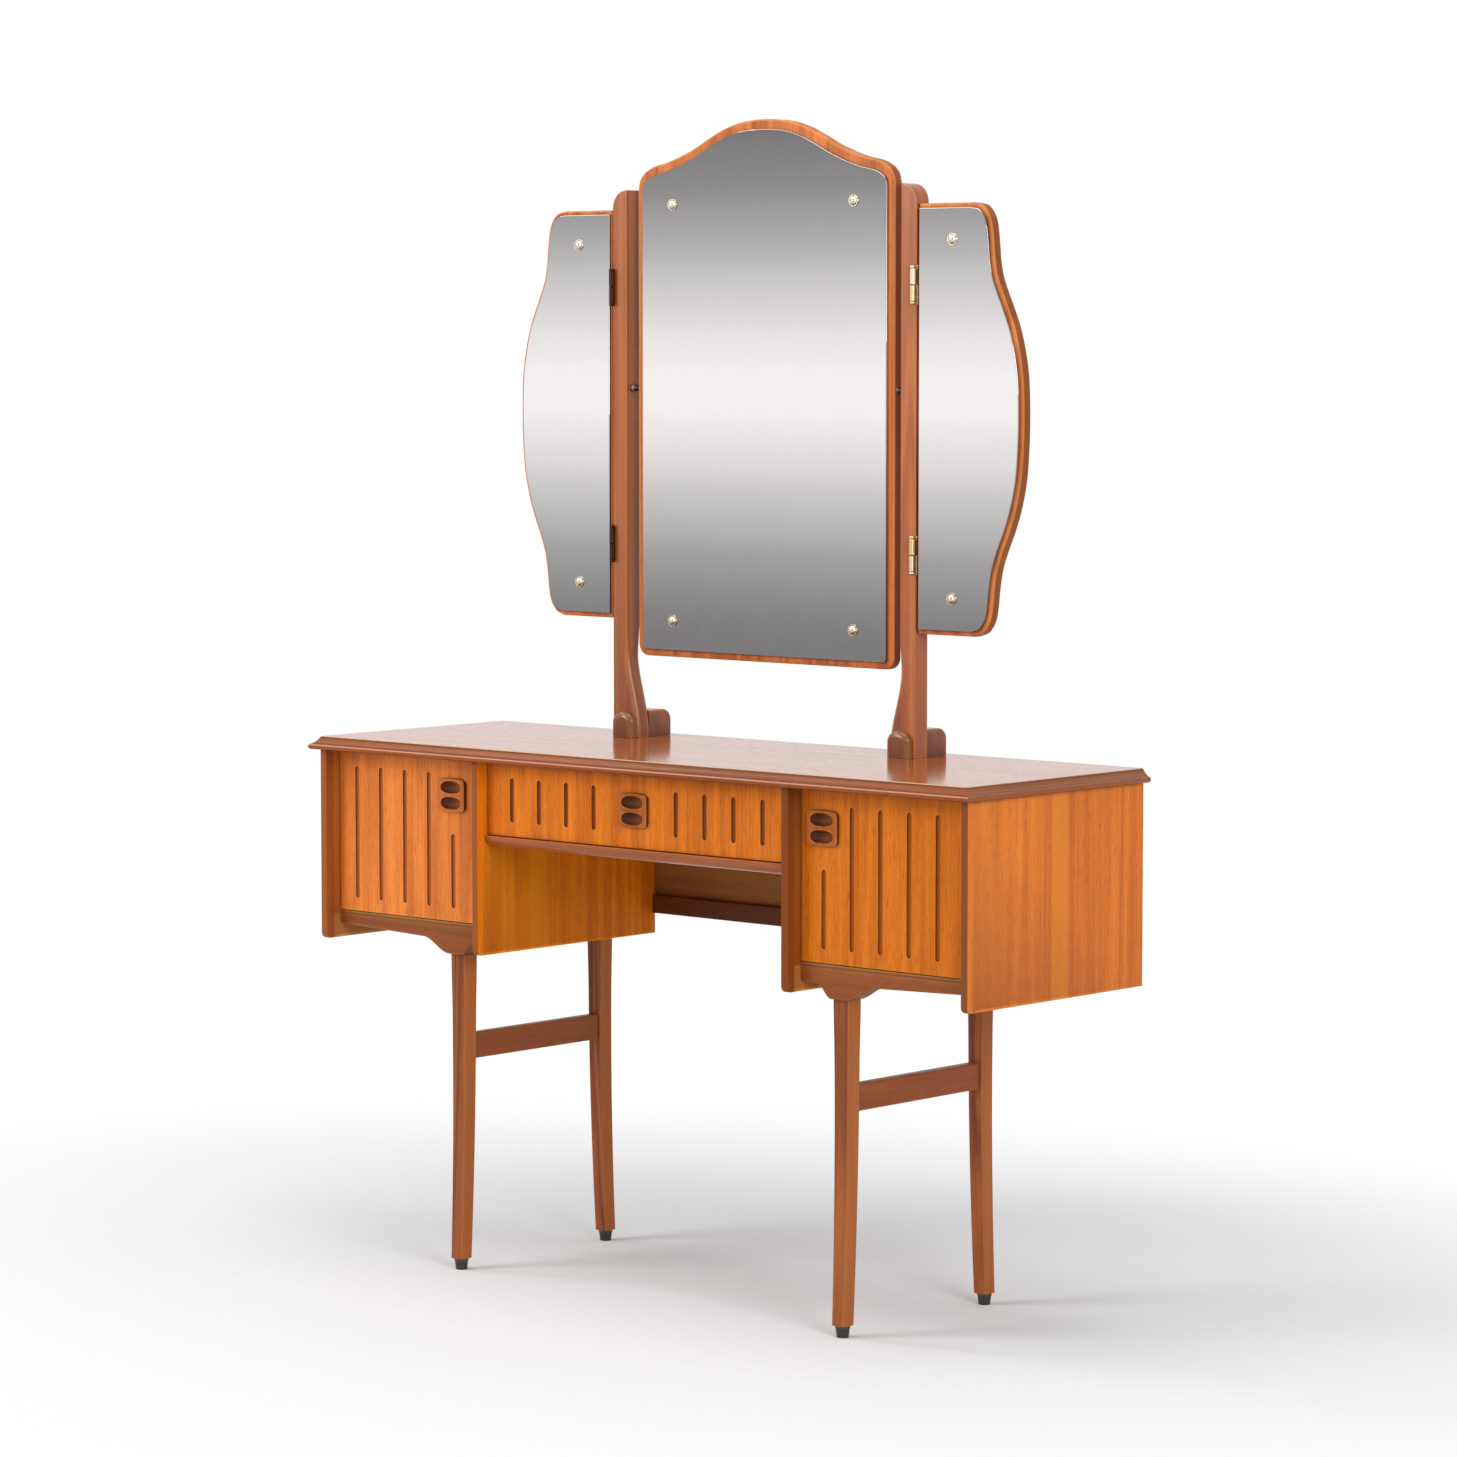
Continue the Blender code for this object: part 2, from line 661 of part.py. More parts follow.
def make_rails():
    """Front rails with their brackets, and the rear rails."""
    for side_name, side in SIDES:
        rail = mirror_mesh(stand_up(outline_mesh(front_rail_outline(), FRONT_RAIL_DEPTH)), side)
        middle = PANEL_FRONT + FRONT_RAIL_RECESS + FRONT_RAIL_DEPTH / 2
        item = piece(f"{side_name}_front_rail", rail, "solid_teak", CASE, (side * LEG_X, middle, RAIL_TOP))
        round_lower_front(item, RAIL_EDGE)
        combine(item, [pivot_bore(side, OPENING_BOTTOM - PIVOT_IN_CASE - JOINT_GAP - BOTTOM_THICKNESS,
                                  RAIL_TOP + CUT_OVERRUN)], "DIFFERENCE")
        edges = sorted((side * (INNER_INSIDE + JOINT_GAP), side * (OUTER_INSIDE - JOINT_GAP)))
        rear_middle = PANEL_FRONT + REAR_LEG_CENTRE
        box(f"{side_name}_rear_rail",
            (edges[0], rear_middle - REAR_RAIL_DEPTH / 2, RAIL_TOP - REAR_RAIL_HEIGHT),
            (edges[1], rear_middle + REAR_RAIL_DEPTH / 2, RAIL_TOP), "beech")


def make_back():
    """One thin back across the case, and the rail along its edge in the kneehole."""
    side = INNER_FACE - JOINT_GAP
    rail_top = UNDERSIDE - BACK_RAIL_TOP + BACK_RAIL_HEIGHT
    back_face = PANEL_BACK - JOINT_GAP
    rail = box_helper((-side, back_face - BACK_RAIL_DEPTH, rail_top - BACK_RAIL_HEIGHT), (side, back_face, rail_top))
    back = box("back_panel",
               (JOINT_GAP - OUTER_INSIDE, BACK_FRONT, OPENING_BOTTOM - BOTTOM_THICKNESS),
               (OUTER_INSIDE - JOINT_GAP, back_face, PANEL_TOP), "plywood")
    combine(back, [rail], "UNION")


# Legs


def leg_centre(height, centre, sweep, top):
    """Front to back place of a leg's middle at a height: straight above, swept below."""
    knee = top - LEG_SHOULDER_DROP
    share = max(0.0, (knee - height) / (knee - FOOT_HEIGHT))
    return PANEL_FRONT + centre + sweep * share * share


def leg_depth(height, top):
    """Front to back size of a leg at a height."""
    share = (height - FOOT_HEIGHT) / (top - FOOT_HEIGHT)
    return LEG_FOOT_DEPTH + (LEG_TOP_DEPTH - LEG_FOOT_DEPTH) * share


def leg_width(height, top):
    """Side to side size of a leg at a height, with a wider shoulder at its top."""
    knee = top - LEG_SHOULDER_DROP
    if height > knee:
        share = (height - knee) / LEG_SHOULDER_DROP
        return LEG_SHOULDER_WIDTH + (LEG_TOP_WIDTH - LEG_SHOULDER_WIDTH) * share
    share = (height - FOOT_HEIGHT) / (knee - FOOT_HEIGHT)
    return LEG_FOOT_WIDTH + (LEG_SHOULDER_WIDTH - LEG_FOOT_WIDTH) * share


def make_leg(name, side, centre, sweep, top):
    """A leg as a side outline, narrowed across its width from the top to the foot."""
    low = FOOT_HEIGHT + JOINT_GAP
    heights = [low + (top - low) * step / LEG_STEPS for step in range(LEG_STEPS + 1)]
    front = [(leg_centre(z, centre, sweep, top) - leg_depth(z, top) / 2, z) for z in heights]
    back = [(leg_centre(z, centre, sweep, top) + leg_depth(z, top) / 2, z) for z in reversed(heights)]
    mesh = stand_sideways(outline_mesh(back + front, LEG_TOP_WIDTH))
    for vertex in mesh.vertices:
        vertex.co.x = math.copysign(leg_width(vertex.co.z, top) / 2, vertex.co.x)
    item = piece(name, mesh, "solid_teak", CASE, (side * LEG_X, 0, 0))
    return smooth(round_edges(item, LEG_EDGE, 2))


def make_legs():
    """Four swept legs, two stretchers and the four plastic feet."""
    front_top = RAIL_TOP - BRACKET_DROP - JOINT_GAP
    rear_top = RAIL_TOP - REAR_RAIL_HEIGHT - JOINT_GAP
    for side_name, side in SIDES:
        make_leg(f"{side_name}_front_leg", side, FRONT_LEG_CENTRE, -FRONT_LEG_SWEEP, front_top)
        make_leg(f"{side_name}_rear_leg", side, REAR_LEG_CENTRE, REAR_LEG_SWEEP, rear_top)
        heights = (STRETCHER_TOP, STRETCHER_TOP - STRETCHER_HEIGHT)
        start = max(leg_centre(z, FRONT_LEG_CENTRE, -FRONT_LEG_SWEEP, front_top) + leg_depth(z, front_top) / 2
                    for z in heights)
        end = min(leg_centre(z, REAR_LEG_CENTRE, REAR_LEG_SWEEP, rear_top) - leg_depth(z, rear_top) / 2
                  for z in heights)
        stretcher = box(f"{side_name}_stretcher",
                        (side * LEG_X - STRETCHER_THICKNESS / 2, start + JOINT_GAP, heights[1]),
                        (side * LEG_X + STRETCHER_THICKNESS / 2, end - JOINT_GAP, heights[0]), "solid_teak")
        round_edges(stretcher, LEG_EDGE)
        for place, centre, sweep, top in (("front", FRONT_LEG_CENTRE, -FRONT_LEG_SWEEP, front_top),
                                          ("rear", REAR_LEG_CENTRE, REAR_LEG_SWEEP, rear_top)):
            foot = cylinder_mesh(FOOT_BOTTOM_RADIUS, FOOT_HEIGHT, end_radius=FOOT_TOP_RADIUS)
            middle = leg_centre(FOOT_HEIGHT, centre, sweep, top)
            smooth(piece(f"{side_name}_{place}_foot", foot, "brown_plastic", CASE,
                         (side * LEG_X, middle, FOOT_HEIGHT / 2)))


# Grooves and handles


def groove_cutter(across, front, bottom, top):
    """An upright slot with round ends, cut into a face at a depth."""
    length = top - bottom
    mesh = cylinder_mesh(GROOVE_WIDTH / 2, GROOVE_DEPTH + CUT_OVERRUN, 2 * GROOVE_END_STEPS)
    mesh.transform(Matrix.Rotation(math.pi / 2, 4, "X"))
    stretch = length - GROOVE_WIDTH
    for vertex in mesh.vertices:
        if vertex.co.z > WELD:
            vertex.co.z += stretch
    middle = front + (GROOVE_DEPTH - CUT_OVERRUN) / 2
    return helper(mesh, (across, middle, bottom + GROOVE_WIDTH / 2))


def handle_outline():
    """Barrel-shaped face of a handle: upright sides, bowed top and bottom, round corners."""
    half_width = HANDLE_WIDTH / 2
    half_height = HANDLE_HEIGHT / 2
    corner = HANDLE_CORNER
    shoulder = half_height - HANDLE_BOW
    upper = []
    reach = half_width - corner
    for step in range(1, HANDLE_SIDE_STEPS):
        share = 1 - 2 * step / HANDLE_SIDE_STEPS
        upper.append((reach * share, half_height - HANDLE_BOW * share * share))
    right = arc((reach, shoulder - corner), (corner, corner), 0, 90, 3)
    left = arc((-reach, shoulder - corner), (corner, corner), 90, 180, 3)
    half = right + upper + left
    return half + [(-across, -up) for across, up in half]


def handle_mortise(across, front, height):
    """Cutter for the recess that a handle is let into."""
    outline = inset(handle_outline(), -HANDLE_CLEARANCE)
    depth = HANDLE_LET_IN + JOINT_GAP
    mesh = stand_up(outline_mesh(outline, depth + CUT_OVERRUN))
    return helper(mesh, (across, front + (depth - CUT_OVERRUN) / 2, height))


def make_handle(name, across, front, height, body):
    """A block with two oval finger scoops, one above the other."""
    thickness = HANDLE_PROUD + HANDLE_LET_IN
    mesh = stand_up(outline_mesh(handle_outline(), thickness))
    middle = front + (HANDLE_LET_IN - HANDLE_PROUD) / 2
    item = piece(name, mesh, "solid_teak", body, (across, middle, height))
    round_edges(item, HANDLE_EDGE)
    scoops = []
    for up in (-1, 1):
        work = bmesh.new()
        bmesh.ops.create_uvsphere(work, u_segments=16, v_segments=9, radius=1)
        bmesh.ops.scale(work, vec=Vector((SCOOP_HALF_HEIGHT, SCOOP_DEPTH, SCOOP_HALF_WIDTH)), verts=work.verts)
        bmesh.ops.rotate(work, verts=work.verts, matrix=Matrix.Rotation(math.pi / 2, 3, "Y"))
        scoop = bpy.data.meshes.new("scoop")
        work.to_mesh(scoop)
        work.free()
        scoops.append(helper(scoop, (across, front - HANDLE_PROUD, height + up * SCOOP_PITCH / 2)))
    return smooth(combine(item, scoops, "DIFFERENCE"))


# Doors


def make_doors():
    """Two inset doors, grooved, with their handles beside the kneehole."""
    bottom = OPENING_BOTTOM + DOOR_END_GAP
    top = UNDERSIDE - DOOR_END_GAP
    inner = INNER_INSIDE + DOOR_SIDE_GAP
    outer = OUTER_INSIDE - DOOR_SIDE_GAP
    handle_height = UNDERSIDE - DOOR_HANDLE_DROP
    for side_name, side, inner_margin, outer_margin in (
            ("left", -1, LEFT_DOOR_INNER_MARGIN, LEFT_DOOR_OUTER_MARGIN),
            ("right", 1, RIGHT_DOOR_INNER_MARGIN, RIGHT_DOOR_OUTER_MARGIN)):
        edges = sorted((side * inner, side * outer))
        door = box(f"{side_name}_door",
                   (edges[0], DOOR_FRONT, bottom), (edges[1], DOOR_FRONT + DOOR_THICKNESS, top),
                   "teak_veneer", DOORS[side])
        round_edges(door, FRONT_EDGE)
        handle_across = side * (INNER_INSIDE + inner_margin)
        pitch = (OUTER_INSIDE - outer_margin - INNER_INSIDE - inner_margin) / (DOOR_GROOVE_COUNT - 1)
        groove_bottom = bottom + DOOR_GROOVE_BOTTOM_MARGIN
        cutters = [groove_cutter(handle_across, DOOR_FRONT, groove_bottom, groove_bottom + SHORT_GROOVE_LENGTH)]
        for index in range(1, DOOR_GROOVE_COUNT):
            cutters.append(groove_cutter(handle_across + side * index * pitch, DOOR_FRONT, groove_bottom,
                                         top - DOOR_GROOVE_TOP_MARGIN))
        cutters.append(handle_mortise(handle_across, DOOR_FRONT, handle_height))
        cutters.append(pivot_bore(side, bottom - CUT_OVERRUN, bottom + PIVOT_IN_DOOR))
        cutters.append(pivot_bore(side, top - PIVOT_IN_DOOR, top + CUT_OVERRUN))
        combine(door, cutters, "DIFFERENCE")
        make_handle(f"{side_name}_door_handle", handle_across, DOOR_FRONT, handle_height, DOORS[side])


def make_door_pivots():
    """Four like steel pins: each stands in the case and in one end of a door."""
    bottom = OPENING_BOTTOM + DOOR_END_GAP
    top = UNDERSIDE - DOOR_END_GAP
    spans = (("lower", OPENING_BOTTOM - BOTTOM_THICKNESS - PIVOT_IN_CASE, bottom + PIVOT_IN_DOOR - JOINT_GAP),
             ("upper", top - PIVOT_IN_DOOR + JOINT_GAP, UNDERSIDE + PIVOT_IN_CASE - JOINT_GAP))
    for side_name, side in SIDES:
        for place, low, high in spans:
            smooth(piece(f"{side_name}_door_{place}_pin", cylinder_mesh(PIVOT_RADIUS, high - low), "dark_steel",
                         CASE, (side * DOOR_PIVOT_X, DOOR_PIVOT_Y, (low + high) / 2)))
    table = bpy.data.objects["table_top"]
    bores = [pivot_bore(side, UNDERSIDE - CUT_OVERRUN, UNDERSIDE + PIVOT_IN_CASE) for _, side in SIDES]
    combine(table, bores, "DIFFERENCE")


# Drawer


def runner_heights():
    """Bottom and top of the drawer runners, halfway up the drawer sides."""
    side_bottom = DRAWER_FRONT_BOTTOM + DRAWER_SIDE_RISE
    middle = side_bottom + DRAWER_SIDE_HEIGHT / 2
    return middle - RUNNER_HEIGHT / 2, middle + RUNNER_HEIGHT / 2


def make_drawer():
    """A grooved front, two sides that hang on the runners, a back and a bottom."""
    half = INNER_FACE - DRAWER_SIDE_GAP
    back = DRAWER_FRONT + DRAWER_DEPTH
    inside = DRAWER_FRONT + DRAWER_FRONT_THICKNESS + JOINT_GAP
    handle_height = UNDERSIDE - DRAWER_HANDLE_DROP
    front = box("drawer_front",
                (-half, DRAWER_FRONT, DRAWER_FRONT_BOTTOM),
                (half, DRAWER_FRONT + DRAWER_FRONT_THICKNESS, DRAWER_FRONT_TOP), "teak_veneer", DRAWER)
    round_edges(front, FRONT_EDGE)
    cutters = [handle_mortise(0, DRAWER_FRONT, handle_height)]
    pitch = (half - DRAWER_GROOVE_SIDE_MARGIN - DRAWER_FIRST_GROOVE) / (DRAWER_GROOVE_PAIRS - 1)
    for index in range(DRAWER_GROOVE_PAIRS):
        for side_name, side in SIDES:
            across = side * (DRAWER_FIRST_GROOVE + index * pitch)
            cutters.append(groove_cutter(across, DRAWER_FRONT, DRAWER_FRONT_BOTTOM + DRAWER_GROOVE_MARGIN,
                                         DRAWER_FRONT_TOP - DRAWER_GROOVE_MARGIN))
    combine(front, cutters, "DIFFERENCE")
    make_handle("drawer_handle", 0, DRAWER_FRONT, handle_height, DRAWER)

    side_bottom = DRAWER_FRONT_BOTTOM + DRAWER_SIDE_RISE
    side_top = side_bottom + DRAWER_SIDE_HEIGHT
    side_inside = half - DRAWER_SIDE_THICKNESS
    runner_low, runner_high = runner_heights()
    groove_reach = INNER_FACE - JOINT_GAP - RUNNER_THICKNESS - RUNNER_SIDE_CLEARANCE
    for side_name, side in SIDES:
        edges = sorted((side * side_inside, side * half))
        board = box(f"drawer_{side_name}_side", (edges[0], inside, side_bottom), (edges[1], back, side_top),
                    "beech", DRAWER)
        cut_edges = sorted((side * groove_reach, side * (half + CUT_OVERRUN)))
        groove = box_helper(
            (cut_edges[0], PANEL_FRONT + RUNNER_RECESS - JOINT_GAP, runner_low - RUNNER_UNDER_CLEARANCE),
            (cut_edges[1], back + CUT_OVERRUN, runner_high + JOINT_GAP))
        combine(board, [groove], "DIFFERENCE")
    board_side = side_inside - JOINT_GAP
    bottom_top = side_bottom + DRAWER_BOTTOM_THICKNESS + JOINT_GAP
    box("drawer_bottom", (-board_side, inside, side_bottom), (board_side, back, bottom_top - JOINT_GAP),
        "plywood", DRAWER)
    box("drawer_back", (-board_side, back - DRAWER_SIDE_THICKNESS, bottom_top), (board_side, back, side_top),
        "beech", DRAWER)


def make_drawer_guides():
    """The two runners on the inner panels and the rounded rail below the drawer."""
    low, high = runner_heights()
    for side_name, side in SIDES:
        edges = sorted((side * (INNER_FACE - JOINT_GAP), side * (INNER_FACE - JOINT_GAP - RUNNER_THICKNESS)))
        box(f"{side_name}_drawer_runner", (edges[0], PANEL_FRONT + RUNNER_RECESS, low),
            (edges[1], BACK_FRONT - JOINT_GAP, high), "beech")

    depth = DRAWER_RAIL_DEPTH
    height = DRAWER_RAIL_HEIGHT
    rounding = arc((DRAWER_RAIL_ROUND_DEPTH, DRAWER_RAIL_ROUND_HEIGHT - height),
                   (DRAWER_RAIL_ROUND_DEPTH, DRAWER_RAIL_ROUND_HEIGHT), 180, 270, SWEEP_STEPS)
    outline = [(0, 0)] + rounding + [(depth, -height), (depth, 0)]
    rail = stand_sideways(outline_mesh(outline, 2 * (INNER_FACE - JOINT_GAP)))
    smooth(piece("drawer_rail", rail, "solid_teak", CASE,
                 (0, PANEL_FRONT + DRAWER_RAIL_RECESS, DRAWER_FRONT_BOTTOM - DRAWER_RAIL_GAP)), 25)


# Mirror posts


def post_outline():
    """Right post from the front: X from its outer face, Z from its foot."""
    flare = POST_FOOT_WIDTH - POST_WIDTH
    inner = [(-POST_WIDTH - flare * out, POST_FLARE_HEIGHT * up) for up, out in POST_FLARE_SHARES]
    corner = arc((-POST_CORNER, POST_HEIGHT - POST_CORNER), (POST_CORNER, POST_CORNER), 0, 90, CORNER_STEPS)
    return [(0, 0)] + corner + [(-POST_WIDTH, POST_HEIGHT)] + inner[::-1]


def pivot_profile(clearance):
    """Radius and distance from the mirror's middle of a pivot screw, head first."""
    edge = MIRROR_WIDTH / 2
    post_inner = POST_OUTER - POST_WIDTH
    head_top = POST_OUTER - MIRROR_PIVOT_HEAD_SINK + clearance
    head_low = POST_OUTER - MIRROR_PIVOT_HEAD_SINK - MIRROR_PIVOT_HEAD_LENGTH - clearance
    shank = MIRROR_PIVOT_RADIUS + clearance
    head = MIRROR_PIVOT_HEAD_RADIUS + clearance
    tip = edge - MIRROR_PIVOT_IN_BOARD - clearance
    if clearance:
        return [(0, POST_OUTER + CUT_OVERRUN), (head, POST_OUTER + CUT_OVERRUN), (head, head_low), (shank, head_low),
                (shank, tip), (0, tip)]
    return [(0, head_top), (head, head_top), (head, head_low), (shank, head_low),
            (shank, post_inner - COLLAR_CLEARANCE), (COLLAR_POST_RADIUS, post_inner - COLLAR_CLEARANCE),
            (COLLAR_MIRROR_RADIUS, edge + COLLAR_CLEARANCE), (shank, edge + COLLAR_CLEARANCE),
            (shank, tip), (0, tip)]


def pivot_mesh(side, clearance):
    """A pivot screw, or the bore for it, lying along X."""
    mesh = turned_mesh(pivot_profile(clearance))
    mesh.transform(Matrix.Rotation(side * math.pi / 2, 4, "Y"))
    return mesh


def block_outline(depth, rounding):
    """A foot block from the side: its post face at 0 and its free top corner rounded."""
    corner = arc((depth - rounding, BLOCK_HEIGHT - rounding), (rounding, rounding), 0, 90, BLOCK_STEPS)
    return [(-BLOCK_LAP, 0), (depth, 0)] + corner + [(-BLOCK_LAP, BLOCK_HEIGHT)]


def make_posts():
    """Two posts with flared feet and foot blocks, and the pivot screws through them."""
    block_middle = POST_OUTER - POST_FOOT_WIDTH / 2
    for side_name, side in SIDES:
        mesh = mirror_mesh(stand_up(outline_mesh(post_outline(), POST_DEPTH)), side)
        post = piece(f"{side_name}_post", mesh, "solid_teak", CASE, (side * POST_OUTER, POST_MIDDLE, TABLE_SEAT))
        round_edges(post, POST_EDGE)
        front = [(-depth, up) for depth, up in block_outline(FRONT_BLOCK_DEPTH, FRONT_BLOCK_ROUND)]
        front = stand_sideways(outline_mesh(front, BLOCK_WIDTH))
        rear = stand_sideways(outline_mesh(block_outline(REAR_BLOCK_DEPTH, REAR_BLOCK_ROUND), BLOCK_WIDTH))
        combine(post, [helper(front, (side * block_middle, POST_FACE, TABLE_SEAT)),
                       helper(rear, (side * block_middle, POST_FACE + POST_DEPTH, TABLE_SEAT))], "UNION")
        combine(post, [helper(pivot_mesh(side, JOINT_GAP), (0, POST_MIDDLE, PIVOT_Z))], "DIFFERENCE")
        smooth(piece(f"{side_name}_mirror_pivot", pivot_mesh(side, 0), "dark_steel", CASE,
                     (0, POST_MIDDLE, PIVOT_Z)))


# Mirrors


def mirror_outline():
    """Centre mirror from the front: X from its middle, Z from its bottom, anticlockwise."""
    half = MIRROR_WIDTH / 2
    corner = MIRROR_CORNER
    right = arc((half - corner, corner), (corner, corner), -90, 0, CORNER_STEPS)
    crown = [(half * across, MIRROR_HEIGHT - MIRROR_CROWN_HEIGHT * drop)
             for across, drop in reversed(MIRROR_CROWN_SHARES)]
    right = right + crown
    left = [(-across, up) for across, up in reversed(right[:-1])]
    return right + left


def wing_outline():
    """Right side mirror from the front: X from its hinged edge, Z from its bottom."""
    outer = [(WING_WIDTH * across, WING_HEIGHT * up) for across, up in reversed(WING_OUTLINE_SHARES)]
    return [(0, 0)] + outer + [(0, WING_HEIGHT)]


def screw_bore(across, face, height):
    """Cutter for a mirror screw through the glass and into its board."""
    length = CUT_OVERRUN + GLASS_THICKNESS + JOINT_GAP + SCREW_IN_BOARD
    bore = cylinder_mesh(SCREW_SHANK_RADIUS + JOINT_GAP, length, SCREW_HOLE_STEPS)
    bore.transform(Matrix.Rotation(math.pi / 2, 4, "X"))
    return helper(bore, (across, face + SCREW_IN_BOARD - length / 2, height))


def make_mirror(board_name, glass_name, outline, rim, drop, side, place, screws, body):
    """A board and the glass on its face, both drilled for the screws of the glass."""
    across, face, bottom = place
    board = mirror_mesh(stand_up(outline_mesh(outline, BOARD_THICKNESS)), side)
    board = piece(board_name, board, "mirror_teak", body, (across, face + BOARD_THICKNESS / 2, bottom))
    round_edges(board, BOARD_EDGE, 2)
    glass = mirror_mesh(stand_up(outline_mesh(inset(outline, rim), GLASS_THICKNESS)), side)
    glass = piece(glass_name, glass, "mirror_glass", body,
                  (across, face - JOINT_GAP - GLASS_THICKNESS / 2, bottom - drop))
    combine(board, [screw_bore(x, face, z) for x, z in screws], "DIFFERENCE")
    combine(glass, [screw_bore(x, face, z) for x, z in screws], "DIFFERENCE")
    return board


def make_mirrors():
    """The tilting centre mirror and the two side mirrors."""
    half = SCREW_SPACING / 2
    levels = (MIRROR_BOTTOM + SCREW_BOTTOM, MIRROR_BOTTOM + SCREW_TOP)
    screws = [(side * half, level) for _, side in SIDES for level in levels]
    board = make_mirror("mirror_board", "mirror_glass", mirror_outline(), MIRROR_RIM, MIRROR_GLASS_DROP, 1,
                        (0, MIRROR_FACE, MIRROR_BOTTOM), screws, MIRROR)
    bores = [helper(pivot_mesh(side, JOINT_GAP), (0, POST_MIDDLE, PIVOT_Z)) for _, side in SIDES]
    combine(board, bores, "DIFFERENCE")
    for side_name, side in SIDES:
        across = side * (WING_INNER + WING_SCREW_OFFSET)
        screws = [(across, WING_BOTTOM + WING_SCREW_BOTTOM), (across, WING_BOTTOM + WING_SCREW_TOP)]
        make_mirror(f"{side_name}_wing_board", f"{side_name}_wing_glass", wing_outline(), WING_RIM, 0, side,
                    (side * WING_INNER, WING_FACE, WING_BOTTOM), screws, WINGS[side])


# Hinges


def hinge_leaf(name, side, height, upper, body):
    """Half of a lift-off hinge: a plate beside the post or the wing, its neck and knuckle."""
    low = height - HINGE_HEIGHT / 2
    high = height + HINGE_HEIGHT / 2
    near = POST_OUTER + JOINT_GAP
    half_low = low
    half_high = height - HINGE_KNUCKLE_GAP / 2
    if upper:
        near = WING_INNER - JOINT_GAP - HINGE_LEAF_THICKNESS
        half_low = height + HINGE_KNUCKLE_GAP / 2
        half_high = high
    far = near + HINGE_LEAF_THICKNESS
    neck_front = HINGE_Y - HINGE_LEAF_THICKNESS / 2
    plate_front = HINGE_Y + HINGE_KNUCKLE_RADIUS + JOINT_GAP
    plate_back = neck_front + HINGE_LEAF_DEPTH
    pin_top = high - HINGE_KNUCKLE_RADIUS

    def block(x_far, y_low, y_high, z_low, z_high):
        """Corners of a plate from the near face, or from the hinge's axis, outwards."""
        x_near = near if y_high == plate_back else HINGE_X
        edges = sorted((side * x_near, side * x_far))
        return (edges[0], y_low, z_low), (edges[1], y_high, z_high)

    def rod(radius, rod_low, rod_high, steps):
        """A cylinder on the hinge's axis."""
        return helper(cylinder_mesh(radius, rod_high - rod_low, steps),
                      (side * HINGE_X, HINGE_Y, (rod_low + rod_high) / 2))

    leaf = box(name, *block(far, plate_front, plate_back, low, high), "brass", body)
    shapes = [box_helper(*block(far, neck_front, plate_back, half_low, half_high)),
              box_helper(*block(far, neck_front, neck_front + HINGE_LEAF_THICKNESS, half_low, half_high)),
              rod(HINGE_KNUCKLE_RADIUS, half_low, half_high, HINGE_STEPS)]
    if upper:
        combine(leaf, shapes, "UNION")
        combine(leaf, [rod(HINGE_PIN_RADIUS + JOINT_GAP, half_low - CUT_OVERRUN, pin_top + JOINT_GAP,
                           HINGE_STEPS)], "DIFFERENCE")
    else:
        combine(leaf, shapes + [rod(HINGE_PIN_RADIUS, half_low + HINGE_KNUCKLE_RADIUS, pin_top, HINGE_STEPS)],
                "UNION")
    return smooth(leaf)


def make_hinges():
    """Two hinges to each side mirror, each a leaf on the post and a leaf on the wing."""
    for side_name, side in SIDES:
        for place, rise in (("lower", LOWER_HINGE), ("upper", UPPER_HINGE)):
            height = WING_BOTTOM + rise
            hinge_leaf(f"{side_name}_{place}_post_leaf", side, height, False, CASE)
            hinge_leaf(f"{side_name}_{place}_wing_leaf", side, height, True, WINGS[side])


make_top()
make_panels()
make_pedestal_bottoms()
make_rails()
make_back()
make_legs()
make_doors()
make_door_pivots()
make_drawer()
make_drawer_guides()
make_posts()
make_mirrors()
make_hinges()
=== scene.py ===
"""Teak dressing table with a three-part mirror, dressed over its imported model.

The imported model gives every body, joint and node. The pieces here are surfaces
worked out with numpy that ride on those bodies, finished with node materials.
X runs along the table, Y from the front to the back and Z upwards, in metres.
"""

import math

import bmesh
import bpy
import numpy as np
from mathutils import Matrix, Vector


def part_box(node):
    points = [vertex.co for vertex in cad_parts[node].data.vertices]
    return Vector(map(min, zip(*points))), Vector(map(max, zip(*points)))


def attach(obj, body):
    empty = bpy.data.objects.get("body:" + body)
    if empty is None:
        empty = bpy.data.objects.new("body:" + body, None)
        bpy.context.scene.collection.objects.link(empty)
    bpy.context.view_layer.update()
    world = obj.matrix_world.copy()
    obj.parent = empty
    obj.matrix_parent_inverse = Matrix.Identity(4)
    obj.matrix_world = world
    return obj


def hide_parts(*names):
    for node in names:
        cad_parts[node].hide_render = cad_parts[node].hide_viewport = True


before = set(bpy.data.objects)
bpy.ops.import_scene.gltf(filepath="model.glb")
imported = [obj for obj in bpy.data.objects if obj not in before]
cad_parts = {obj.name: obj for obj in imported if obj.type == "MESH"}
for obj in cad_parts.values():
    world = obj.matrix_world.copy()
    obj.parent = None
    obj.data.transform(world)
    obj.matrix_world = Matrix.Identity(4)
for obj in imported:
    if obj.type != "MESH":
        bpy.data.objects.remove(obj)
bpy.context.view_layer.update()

bl_info = {
    "name": "Teak Dressing Table",
    "version": (1, 0, 0),
    "blender": (4, 5, 0),
    "location": "3D View > Sidebar > Table",
    "description": "Builds the pieces, finishes and stage of a teak dressing table",
    "category": "Object",
}

SIDES = (("left", -1), ("right", 1))
FLAT_MARGIN = 0.0015
ROUND_STEPS = 4
BACK_ROUND = 0.0006
JOINT, JOINT_REACH = 0.0001, 0.0002


def limits(node):
    """Lowest and highest corner of a CAD node, as arrays."""
    low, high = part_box(node)
    return np.array(low), np.array(high)


PANEL_FRONT = limits("right_outer_panel")[0][1]


